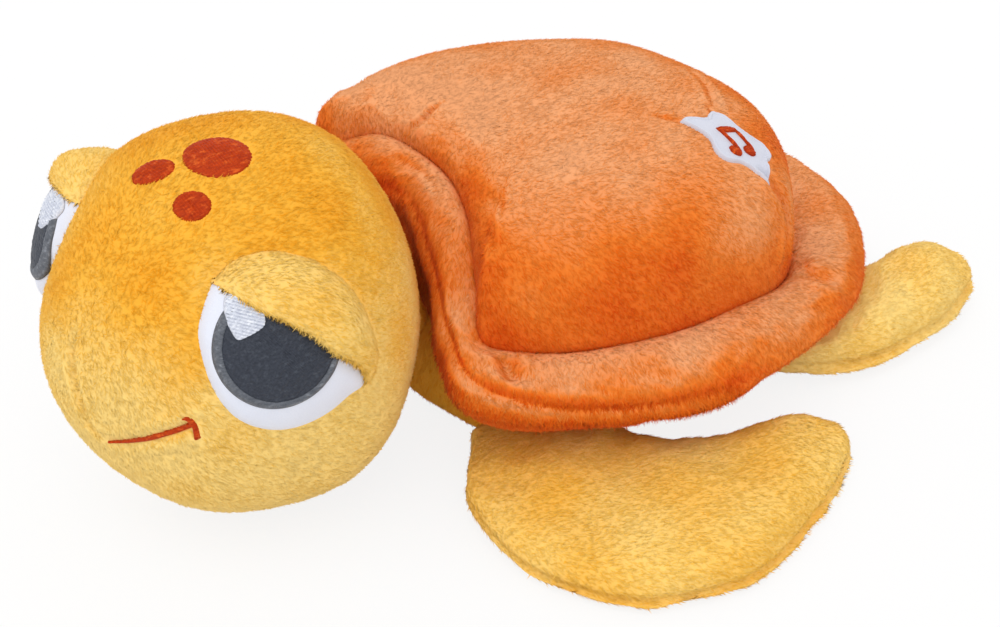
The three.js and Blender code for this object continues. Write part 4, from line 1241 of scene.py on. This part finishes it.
def makeNotes(target):
    # Two stems and their beam, then two oval heads, drawn upright and turned on the badge
    place, axes = badgeFrame()
    wide, stem, beamIn = badge["stemWide"], badge["stem"], badge["beamIn"]
    rise = badge["apart"] * math.tan(math.radians(badge["slant"]))
    left, low = -badge["apart"] / 2, -stem / 2
    right, high = left + badge["apart"], low + stem - badge["beam"] / 2
    feet = [(left, low), (right, low + rise)]
    shapes = [(bar((x + wide / 2, y), (x + wide / 2, y + stem), wide), 0) for x, y in feet]
    shapes.append((bar((left + beamIn, high), (right + wide - beamIn, high + rise), badge["beam"]), 90))
    for x, y in feet:
        oval = ovalBorder(badge["headLong"], badge["headShort"], badge["headSlant"],
                          x - badge["headLong"] + wide, y, 120)
        shapes.append((oval, 65))
    parts = []
    for k, (border, slant) in enumerate(shapes):
        border = onBadge(border, badge["notesTurn"])
        parts.append(patch(border, border.mean(0), axes, place, target, slant + badge["notesTurn"],
                           60 + k, badge["notesLift"]))
    return joined(parts)


def makeSpot(name, target):
    # Oval patch on a plane that faces it, with its rows aslant to its long way
    turn, climb, slant, long, short = spots[name]
    return patch(ovalBorder(long, short, slant), (0, 0), headAxes(turn, climb), headMiddle, target,
                 slant + stitch["spotSlant"], 70 + len(name), stitch["lift"])


def makeMouth(target):
    # The line and the short tick at its end
    return joined([satinLine(head["mouth"], mouth["width"], target),
                   satinLine(mouth["tick"], mouth["tickWidth"], target)])


# Flippers, drawn on the turtle's left

flippers = {
    "front": {
        "reach": 84.5, "sweep": 98, "thick": 14, "seam": 5.2, "lift": 0.8,
        "hinge": [(.536, -.88), (.687, -.372)],
        "lead": [(.227, -.358), (.613, -.312), (.924, -.083), (1, .276), (.832, .624), (.613, .891)],
        "trail": [(.168, .285), (.26, .413), (.311, .56), (.328, .716), (.353, .854), (.437, .955)],
        "tip": (.529, .964), "crown": [.43, .75, .93, 1, .93, .75, .43], "bends": (-1.8, -1.8),
        "forward": (1.3, 1.3)},
    "rear": {
        "reach": 28.6, "sweep": 87, "thick": 16, "seam": 9, "lift": 2.5,
        "hinge": [(.614, .283), (.365, .539)],
        "lead": [(.649, .051), (.73, .284), (.622, .547), (.351, .78), (-.027, .956)],
        "trail": [(-.514, .328), (-.622, .547), (-.703, .737), (-.676, .868), (-.487, .985)],
        "tip": (-.216, 1.014), "crown": [.38, .69, .94, 1, .88, .5], "bends": (0, 38),
        "forward": (-2, 0)},
}
flipper = {"rows": 36, "sides": 36, "hingeHeight": 13, "hingeRadius": 6, "round": 0.6,
           "rootShare": 0.33, "beadTilts": (78, 55, 30, 10), "beadGap": 0.06, "fill": 0.9,
           "pinned": 0.35, "swell": 0.9, "underRoll": 2.2, "rollReach": 5, "rollFall": 3,
           "edgePoints": 160, "gathered": (-140, -20), "gather": 1.0, "gatherReach": 7,
           "gatherLong": 11, "lump": 0.5, "lumpSize": 34, "seamDepth": 1.3, "seamWide": 1.5,
           "seamFade": 0.06, "rollFade": 0.12}


def flipperEdges(plan):
    # Leading and trailing edges on the ground, from the ends of the root's hinge line
    half = np.array([shell["width"] / 2, shell["length"] / 2])
    front, back = (np.append(np.array(h) * half, 0) + shellPlace for h in plan["hinge"])
    pivot = (front + back) / 2
    size = np.array([plan["reach"], plan["sweep"]])
    lead, trail, tip = (np.insert(np.array(plan[name]) * size, 2, 0, -1) + pivot
                        for name in ("lead", "trail", "tip"))
    return openCurve(np.vstack([front, lead])), openCurve(np.vstack([back, trail])), pivot, tip


def bent(points, pivot, settle, angle):
    # Turns points to the far side about the pivot, by angle settle^2
    turn = -np.radians(angle) * settle ** 2
    x, y = points[..., 0] - pivot[0], points[..., 1] - pivot[1]
    c, s = np.cos(turn), np.sin(turn)
    return np.stack([pivot[0] + x * c - y * s, pivot[1] + x * s + y * c, points[..., 2]], -1)


def flipperSkin(plan, bend, forward):
    # Rings from root to tip: a chord between the edges, and over and under it a boxy half oval
    # of height crown sin(turn)^round. A bead of tilted rings rounds off the root.
    lead, trail, pivot, tip = flipperEdges(plan)
    crownAt = openCurve(np.array(plan["crown"])[:, None] * (0, 0, plan["thick"]))
    rootLine = unit(trail(np.zeros(1)) - lead(np.zeros(1)))[0]
    rootOut = np.array([rootLine[1], -rootLine[0], 0])
    beads = len(flipper["beadTilts"])
    t = np.concatenate([np.zeros(beads), np.linspace(0, 1, flipper["rows"])])
    tilt = np.concatenate([np.radians(flipper["beadTilts"]), np.zeros(flipper["rows"])])[:, None]
    turn = around(flipper["sides"])[None]
    start, end = lead(t)[:, None], trail(t)[:, None]
    settle = np.minimum(1, t / flipper["rootShare"])[:, None]
    seam = mix(flipper["hingeHeight"], plan["seam"], settle)
    swell = np.abs(np.sin(turn)) ** flipper["round"] * np.sign(np.sin(turn))
    high = crownAt(t)[:, None, 2]
    low = mix(flipper["hingeRadius"], plan["seam"] - plan["lift"], settle)
    height = np.where(swell > 0, high, low) * swell
    points = mix(start, end, ((1 - np.cos(turn)) / 2)[..., None])
    points -= rootOut * (np.abs(height) * np.sin(tilt))[..., None]
    points[..., 2] = seam + height * np.cos(tilt)
    # The bead's rings stand a little apart, so that no thread of the cloth is without length
    points[:beads] -= rootOut * flipper["beadGap"] * np.arange(beads, 0, -1)[:, None, None]
    points = bent(points, pivot, settle, bend)
    tipPlace = bent(tip, pivot, 1.0, bend)
    tipPlace[2] = plan["seam"]
    last = mix(points[-1].mean(0), tipPlace, flipper["fill"])
    points[..., 1] -= forward * settle
    last[1] -= forward
    skin, faces = stacked(points, points[0].mean(0), last)
    dense = np.linspace(0, 1, flipper["edgePoints"])
    edge = np.vstack([lead(dense), tip[None], trail(dense[::-1])])
    reached = np.concatenate([dense, [1], dense[::-1]])
    settled = np.minimum(1, reached / flipper["rootShare"])
    edge = bent(edge, pivot, settled, bend)
    edge[:, 1] -= forward * settled
    edge[:, 2] = mix(flipper["hingeHeight"], plan["seam"], settled)
    held = np.exp(-(np.sin(turn) / flipper["pinned"]) ** 2) + 0 * tilt
    held[:beads + 3] = 1
    return skin, faces, np.append(held.reshape(-1), [1, 1]), edge


def makeFlipper(name, plan, left):
    # The inflated skin, mirrored for the right, with gathers and a seam along its edge
    side = 0 if left else 1
    points, faces, held, edge = flipperSkin(plan, plan["bends"][side], plan["forward"][side])
    mirror = (1, 1, 1) if left else (-1, 1, 1)
    points, edge = points * mirror, edge * mirror
    faces = outward(points, faces)
    points = stuffed(name, points, faces, held, flipper["swell"])
    points, faces = finer(points, faces, 2)
    # The lower cloth rolls out beyond the seam
    far, share = distanceTo(edge, points)
    below = smooth((plan["seam"] - points[:, 2]) / flipper["rollFall"])
    ends = smooth(np.minimum(share, 1 - share) / flipper["rollFade"])
    level = unit(normalsOf(points, faces) * (1, 1, 0) + 1e-9)
    roll = flipper["underRoll"] * below * np.exp(-(far / flipper["rollReach"]) ** 2) * ends
    points = points + level * roll[:, None]
    points = gathers(points, faces, edge[slice(*flipper["gathered"])], flipper["gather"],
                     flipper["gatherReach"], flipper["gatherLong"], 21)
    points = lumps(points, faces, flipper["lumpSize"], flipper["lump"], 31)
    points = valley(points, faces, edge, flipper["seamDepth"], flipper["seamWide"], 0.3,
                    flipper["seamFade"])
    points[:, 2] = np.maximum(points[:, 2], plan["lift"] * 0.5)
    return points, faces


# Pieces, each kept by its CAD node's name for its pile

skins = {}


def place(name, mesh, body, slot, node, fill=None):
    # A finished piece on its body, in the look of its slot, in the place of a CAD node
    points, faces = np.asarray(mesh[0]), outward(*mesh)
    piece = meshObject(name, points, faces, [looks[slot]])
    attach(piece, body)
    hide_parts(node)
    skins[node] = piece, points, faces, body, slot
    return piece


# Pile: short tufts that lie one way over a plush skin

# below: the skin under the tufts is a little paler than they are, painted light against the shade in the
# gaps between them
pileLook = {"dense": 1.5, "long": 2.15, "wide": 0.45, "ridge": 0.3, "lean": 79, "leanSpread": 4,
            "stray": 0.3, "root": 0.13, "shine": 0.1, "patch": 24, "patchShare": 0.36,
            "drawShare": 0.25, "below": 0.12, "most": 47000, "floor": 0.1}
rimFringe = {"dense": 1.4, "long": 2.8, "wide": 0.38, "lean": 62, "stray": 0.4, "end": 0.33, "reach": 6}
lidFringe = {"dense": 2.4, "long": 1.9, "lean": 60, "stray": 0.5}
tuftFaces = np.array([[0, 2, 1], [0, 1, 3], [0, 3, 2], [1, 2, 3]])  # three foot points, then the tip


def paleness(look, points, normals, pale, seed):
    # Shade of a place, 0 for deep to 4 for pale: pale over the middle one, which is painted light
    # and painted shade, and brushed patches
    return 2 + look["patchShare"] * waves(points, look["patch"], seed) + pale(points, normals)


def pile(name, node, lie, keep, pale, seed, fringe=False, **changes):
    # Closed four-sided spikes, drawn by area over the faces that are kept. Each leans from the
    # normal towards the way the pile lies there, and takes the normal of the skin. Each takes
    # the shade of its place, with the painted light and shade in it. The skin below is given
    # the shade of the pile, unless this is a fringe over its pile.
    look = {**pileLook, **changes}
    skin, points, faces, body, slot = skins[node]
    shades = pileLooks[slot]
    thirds = np.vstack([g[:, [0, k, k + 1]] for g in faces for k in range(1, g.shape[1] - 1)])
    normals = normalsOf(points, faces)
    if not fringe:
        under = paleness(look, points, normals, pale, seed) / 4 + look["below"]
        shade = skin.data.attributes.new("pale", "FLOAT", "POINT")
        shade.data.foreach_set("value", np.clip(under, 0, 1).astype(np.float32))
    a, b, c = points[thirds].transpose(1, 0, 2)
    area = np.linalg.norm(np.cross(b - a, c - a), axis=1) / 2
    weight = np.cumsum(area * keep((a + b + c) / 3, unit(normals[thirds].sum(1))))
    count = int(weight[-1] * look["dense"])
    draw = np.random.default_rng(seed)
    chosen = thirds[np.searchsorted(weight, draw.uniform(0, weight[-1], count))]
    u, v = draw.uniform(size=(2, count, 1))
    over = u + v > 1
    u, v = np.where(over, 1 - u, u), np.where(over, 1 - v, v)
    share = np.stack([1 - u - v, u, v], 1)
    root, out = (points[chosen] * share).sum(1), unit((normals[chosen] * share).sum(1))
    way = unit(lie(root)) + look["stray"] * draw.normal(size=(count, 3))
    flat = unit(way - out * dot(way, out))
    lean = np.radians(look["lean"] + look["leanSpread"] * draw.normal(size=(count, 1)))
    along = out * np.cos(lean) + flat * np.sin(lean)
    side = unit(np.cross(along, out))
    long = look["long"] * draw.uniform(0.7, 1.25, (count, 1))
    wide = look["wide"] * draw.uniform(0.75, 1.25, (count, 1))
    foot = root - out * look["root"]
    spikes = np.stack([foot + side * wide / 2, foot - side * wide / 2,
                       foot + out * wide * look["ridge"], root + along * long], 1)
    spikes[..., 2] = np.maximum(spikes[..., 2], look["floor"])
    shine = unit(out + look["shine"] * draw.normal(size=(count, 3)))
    level = paleness(look, root, out, pale, seed) + look["drawShare"] * draw.normal(size=count)
    level = np.clip(np.round(level * (len(shades) - 1) / 4), 0, len(shades) - 1)
    parts = math.ceil(count / look["most"])
    for k in range(parts):
        mine = slice(k * count // parts, (k + 1) * count // parts)
        size = mine.stop - mine.start
        ids = tuftFaces[None] + 4 * np.arange(size)[:, None, None]
        piece = meshObject(f"{name}_pile_{k + 1}", spikes[mine].reshape(-1, 3), [ids.reshape(-1, 3)],
                           shades, np.repeat(level[mine], 4))
        piece.data.normals_split_custom_set_from_vertices(np.repeat(shine[mine], 4, axis=0))
        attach(piece, body)
    print(f"  {name}: {count} tufts")


def awayFrom(middle):
    # Keeps the faces that look away from a point inside
    return lambda p, n: dot(n, p - middle)[:, 0] > 0


def steady(way):
    # The pile lies one way all over
    return lambda p: way + 0 * p


def even(level):
    # One paleness all over
    return lambda p, n: level + 0 * p[:, 0]


# Inside parts

clumpSize = 14


def evenCopy(node, cell, height, inset, seed):
    # The form of a soft CAD solid in even cells, drawn in by an inset, with the lumps of its
    # stuffing
    solid = bpy.data.objects[node]
    draft = bpy.data.objects.new("draft", solid.data)
    bpy.context.scene.collection.objects.link(draft)
    cut = draft.modifiers.new("even", "REMESH")
    cut.mode, cut.voxel_size = "VOXEL", cell * mm
    points, faces = readBack(draft)
    bpy.data.objects.remove(draft)
    turned = np.array(solid.matrix_world)
    points = points @ turned[:3, :3].T + turned[:3, 3] / mm
    faces = outward(points, faces)
    points = points - normalsOf(points, faces) * inset
    return lumps(points, faces, clumpSize, height, seed), faces


# Each filling: its body, cell and inset
fillings = {"body_filling": ("body", 4.0, 1.5), "head_filling": ("head", 3.0, 3.5),
            "front_flipper_filling_left": ("front_flipper_left", 1.6, 1.2),
            "front_flipper_filling_right": ("front_flipper_right", 1.6, 1.2),
            "rear_flipper_filling_left": ("rear_flipper_left", 1.4, 1),
            "rear_flipper_filling_right": ("rear_flipper_right", 1.4, 1)}


def stuffingLook():
    # Polyester fibres, in soft clumps
    def paint(w):
        clumps = w.noise(120, 3)
        fibres = w.noise(1400, 3, 0.7, (1, 0.35, 1))
        body = fibres.blend(tone(222, 218, 208), tone(246, 244, 238))
        return {"Base Color": (clumps * 0.6).blend(body, tone(232, 229, 221)),
                "bump": fibres * 0.0008 + clumps * 0.002}
    return material("stuffing_fibres", paint, Base_Color=tone(240, 237, 230), Roughness=0.95,
                    Sheen_Weight=0.3, Specular_IOR_Level=0.1)


def moulded(name, colour, shade, rough=0.45):
    # Moulded plastic: a fine spark-eroded grain and slight flow marks
    def paint(w):
        fine = w.noise(1800, 2)
        flow = w.noise(70, 2, 0.5, (1, 0.3, 1))
        return {"Base Color": flow.blend(tone(*colour), tone(*shade)),
                "Roughness": fine * 0.16 + (rough - 0.08), "bump": fine * 0.00004}
    return material(name, paint, Base_Color=tone(*colour), Specular_IOR_Level=0.5)


def brushed(name, colour, shade, rough=0.3):
    # Turned or brushed metal with faint lines
    def paint(w):
        lines = w.noise(2200, 2, 0.6, (1, 0.06, 1))
        return {"Base Color": lines.blend(tone(*colour), tone(*shade)),
                "Roughness": lines * 0.2 + (rough - 0.1), "bump": lines * 0.00002}
    return material(name, paint, Base_Color=tone(*colour), Metallic=1.0)


def boardLook():
    # Solder mask with the copper's pattern showing faintly through it
    def paint(w):
        tracks = w.noise(420, 1, 0.4, (1, 0.2, 1))
        lit = ((tracks - 0.5) * 9 + 0.5).blend(tone(34, 96, 52), tone(58, 130, 74))
        return {"Base Color": lit, "Roughness": tracks * 0.1 + 0.3, "bump": tracks * 0.00005}
    return material("board_mask", paint, Base_Color=tone(47, 107, 60), Coat_Weight=0.3)


unitLooks = [
    (moulded("pale_moulding", (222, 221, 214), (208, 207, 200)), ["sound_case", "sound_lid"]),
    (moulded("dark_moulding", (66, 68, 72), (52, 54, 58), 0.4), ["press_switch", "battery_hatch"]),
    (moulded("button_moulding", (70, 72, 77), (56, 58, 62), 0.35), ["sound_button"]),
    (boardLook(), ["circuit_board"]),
    (brushed("speaker_metal", (150, 148, 142), (112, 110, 106), 0.4), ["speaker"]),
    (brushed("steel_metal", (196, 198, 202), (160, 162, 168)),
     ["button_cell_1", "button_cell_2", "button_cell_3", "hatch_screw"]),
]


# The whole turtle

print("shell and belly")
*domeMesh, domeCreases = makeDome()
domePiece = place("shell_dome_cover", domeMesh, "body", "plush_orange", "shell_dome", 0.9)
place("shell_rim_roll", makeRim(), "body", "plush_orange", "shell_rim", 0.8)
place("belly_cloth", makeBelly(), "body", "plush_yellow", "belly_cover", 0.7)

print("head")
headPiece = place("head_plush", makeHead(), "head", "plush_yellow", "head_cover", 0.95)
eyeParts = {"eye_white": ("eye_white", 0.9), "iris": ("eye_iris", None), "iris_edge": ("eye_ring", None),
            "eye_glint": ("eye_glint", None), "eyelid": ("plush_yellow", 0.8)}
for side in ("left", "right"):
    for kind, mesh in makeEye(headPiece, side == "left").items():
        slot, fill = eyeParts[kind]
        place(f"{kind}_{side}_sewn", mesh, "head", slot, f"{kind}_{side}", fill)

print("embroidery")
for name in spots:
    place(f"forehead_spot_{name}_sewn", makeSpot(name, headPiece), "head", "embroidery_red",
          f"forehead_spot_{name}")
place("mouth_sewn", makeMouth(headPiece), "head", "embroidery_red", "mouth_stitch")
place("badge_patch_sewn", makeBadge(domePiece), "body", "badge_white", "badge_patch")
place("badge_notes_sewn", makeNotes(domePiece), "body", "embroidery_red", "badge_notes")

print("flippers")
tipWays = {}
for end, plan in flippers.items():
    for side, mirror in (("left", 1), ("right", -1)):
        name = f"{end}_flipper_{side}"
        place(f"{name}_plush", makeFlipper(name, plan, side == "left"), name, "plush_yellow", name, 0.85)
        _, _, pivot, tip = flipperEdges(plan)
        tipWays[name] = unit(tip - pivot) * (mirror, 1, 1)

print("inside parts")
looks["stuffing"] = stuffingLook()
for number, (node, (body, cell, inset)) in enumerate(fillings.items()):
    place(f"{node}_fibres", evenCopy(node, cell, 0.35, inset, 80 + number), body, "stuffing", node, 0.7)
place("neck_plush", evenCopy("neck", 1.6, 0.4, 0, 90), "neck", "plush_yellow", "neck", 0.9)
for look, nodes in unitLooks:
    for node in nodes:
        for holder in bpy.data.objects[node].material_slots:
            holder.material = look

print("pile")
bodyMiddle = shellPlace + up * 30
back, down = np.array([0, 1.0, 0]), -up


# What the pile leaves bare: its gaps round the badge, the spots and the mouth, and how low and
# how much turned down a skin lies on the ground
bare = {"badge": 0.3, "badgeDeep": 12, "spot": 0.2, "mouth": 1.3, "ground": 2.5,
        "flipperGround": 2.2, "flipperDown": -0.5, "rimDown": -0.25, "rimOut": 0.25,
        "lidIn": -0.2, "lidEdge": 0.3, "lidFringe": 0.45}


def offBadge(p):
    # Dome places off the badge
    middle, axes = badgeFrame()
    x, y, z = ((p - middle) @ axes.T).T
    sx, sy = badge["shift"]
    border = badgeBorder(bare["badge"]) - (sx, sy)
    return (shareOf(x - sx, y - sy, border) > 1) | (np.abs(z) > bare["badgeDeep"])


def offFace(p):
    # Head places off the eyes, the spots and the mouth
    clear = (eyeCover(p, True) > 0.99) & (eyeCover(p, False) > 0.99)
    for turn, climb, slant, long, short in spots.values():
        x, y, z = ((p - headMiddle) @ headAxes(turn, climb).T).T
        border = ovalBorder(long + bare["spot"], short + bare["spot"], slant)
        clear &= (shareOf(x, y, border) > 1) | (z < 0)
    for pairs in (head["mouth"], mouth["tick"]):
        clear &= distanceTo(openPath(onHead(pairs), 60), p)[0] > bare["mouth"]
    return clear


def shellOut(p):
    # Level way out from the shell's middle
    return unit((p - shellPlace) * (1, 1, 0))


def rimOutside(p, n):
    # Rim places that face up or out, and not down to the belly or in to the filling
    return (n[:, 2] > bare["rimDown"]) | (dot(n, shellOut(p))[:, 0] > bare["rimOut"])


def offGround(middle):
    # Keeps what looks away from a point inside and doesn't lie on the ground
    return lambda p, n: awayFrom(middle)(p, n) & (p[:, 2] > bare["ground"])


# How much paler than the middle tone: a painted highlight where a skin faces up, painted
# bounce light where the head faces down, and painted shade in the creases, the rim's seam and
# the collar. Brushed places: share, angle, reach and how much paler
domeShade = {"paintedTopLight": 2.4, "start": -1.05, "crease": 1.2, "creaseWide": 1.0,
             "brushes": [(0.395, 66, 19, 2.1), (0.435, 70, 10, 1.4), (0.95, 62, 24, 1.2),
                         (0.9, 80, 24, 1.2)]}
rimShade = {"paintedTopLight": 2.6, "start": -1.15, "seam": 0.6, "seamWide": 2.0, "collarPaintedShade": 0.3,
            "collarFront": (45, 30), "collarHigh": (40, 20)}
headShade = {"paintedUnderLight": 2.6, "start": -0.75, "from": 0.8, "over": 1.1}
flipperShade = {"front": 0.6, "rear": 1.3}


def domeBrushesAndPaintedLight(p, n):
    # Painted highlight, paler by the fourth power of how it faces up, paler on brushed places by
    # amount exp(-(distance / reach)^2), and painted shade, deep in the creases
    level = domeShade["paintedTopLight"] * np.clip(n[:, 2], 0, 1) ** 4 + domeShade["start"]
    for share, angle, reach, amount in domeShade["brushes"]:
        far = np.linalg.norm(p - domeAt(np.array([share]), np.array([angle])), axis=1)
        level = level + amount * np.exp(-(far / reach) ** 2)
    far = distanceTo(domeCreases, p)[0] / domeShade["creaseWide"]
    return level - domeShade["crease"] * np.exp(-far ** 2)


def rimPaintedLight(p, n):
    # Painted highlight, paler by the power 2.5 of how it faces up, and painted shade, deep in the
    # seam and inside the collar
    facing = np.clip(n[:, 2], 0, 1) ** 2.5
    away = p - shellPlace
    (front, overFront), (high, overHigh) = rimShade["collarFront"], rimShade["collarHigh"]
    collarPaintedShade = (smooth(-n[:, 1]) * smooth((-away[:, 1] - front) / overFront)
              * smooth((away[:, 2] - high) / overHigh))
    seam = np.exp(-(distanceTo(rimSeam(300), p)[0] / rimShade["seamWide"]) ** 2)
    return (rimShade["paintedTopLight"] * facing + rimShade["start"] - rimShade["seam"] * seam
            - rimShade["collarPaintedShade"] * collarPaintedShade)


def headPaintedLight(p, n):
    # Painted bounce light from the floor: deep on top and paler downwards
    down = smooth((headShade["from"] - n[:, 2]) / headShade["over"])
    return headShade["paintedUnderLight"] * down + headShade["start"]


pile("shell_dome", "shell_dome", steady(back * 0.7 + down),
     lambda p, n: awayFrom(bodyMiddle)(p, n) & offBadge(p), domeBrushesAndPaintedLight, 101)
pile("shell_rim", "shell_rim", lambda p: shellOut(p) * 0.8 + down + back * 0.4, rimOutside, rimPaintedLight, 102)
fringePath = rimEdge(np.linspace(-rimFringe["end"], rimFringe["end"], 220))
pile("shell_fringe", "shell_rim", lambda p: shellOut(p) + down * 0.9 + back * 0.2,
     lambda p, n: rimOutside(p, n) & (distanceTo(fringePath, p)[0] < rimFringe["reach"]), rimPaintedLight,
     120, True, **rimFringe)
# Painted shade: the belly under the rim takes a deep tone all over
pile("belly", "belly_cover", steady(down + back * 0.2), offGround(bodyMiddle), even(-1.2), 103,
     dense=0.8)
pile("neck", "neck", steady(down + back), awayFrom(neckMiddle), even(-0.7), 108, dense=1.1, long=1.8)
pile("head", "head_cover", steady(headTurn @ (0, 1.0, -0.55)),
     lambda p, n: offGround(headMiddle)(p, n) & offFace(p), headPaintedLight, 104)
for side, mirror in (("left", 1), ("right", -1)):
    axes = headAxes(eye["turn"], eye["climb"], side == "left")
    toBack = np.array([0.85 * mirror, -0.5, 0]) @ axes
    toEdge = np.array([-0.6 * mirror, -0.8, 0]) @ axes
    # The lids and their fringe take a pale tone all over, a painted sheen
    pile(f"eyelid_{side}", f"eyelid_{side}", steady(toBack),
         lambda p, n: ((dot(n, axes[2])[:, 0] > bare["lidIn"])
                       | (dot(n, toEdge)[:, 0] > bare["lidEdge"])), even(1.0), 105)
    pile(f"lid_fringe_{side}", f"eyelid_{side}", steady(toEdge + axes[2] * 0.2),
         lambda p, n: dot(n, toEdge)[:, 0] > bare["lidFringe"], even(0.9), 107, True, **lidFringe)
for number, (name, toTip) in enumerate(tipWays.items()):
    pile(name, name, steady(toTip + down * 0.3),
         lambda p, n: ~((p[:, 2] < bare["flipperGround"]) & (n[:, 2] < bare["flipperDown"])),
         even(flipperShade[name.split("_")[0]]), 110 + number)
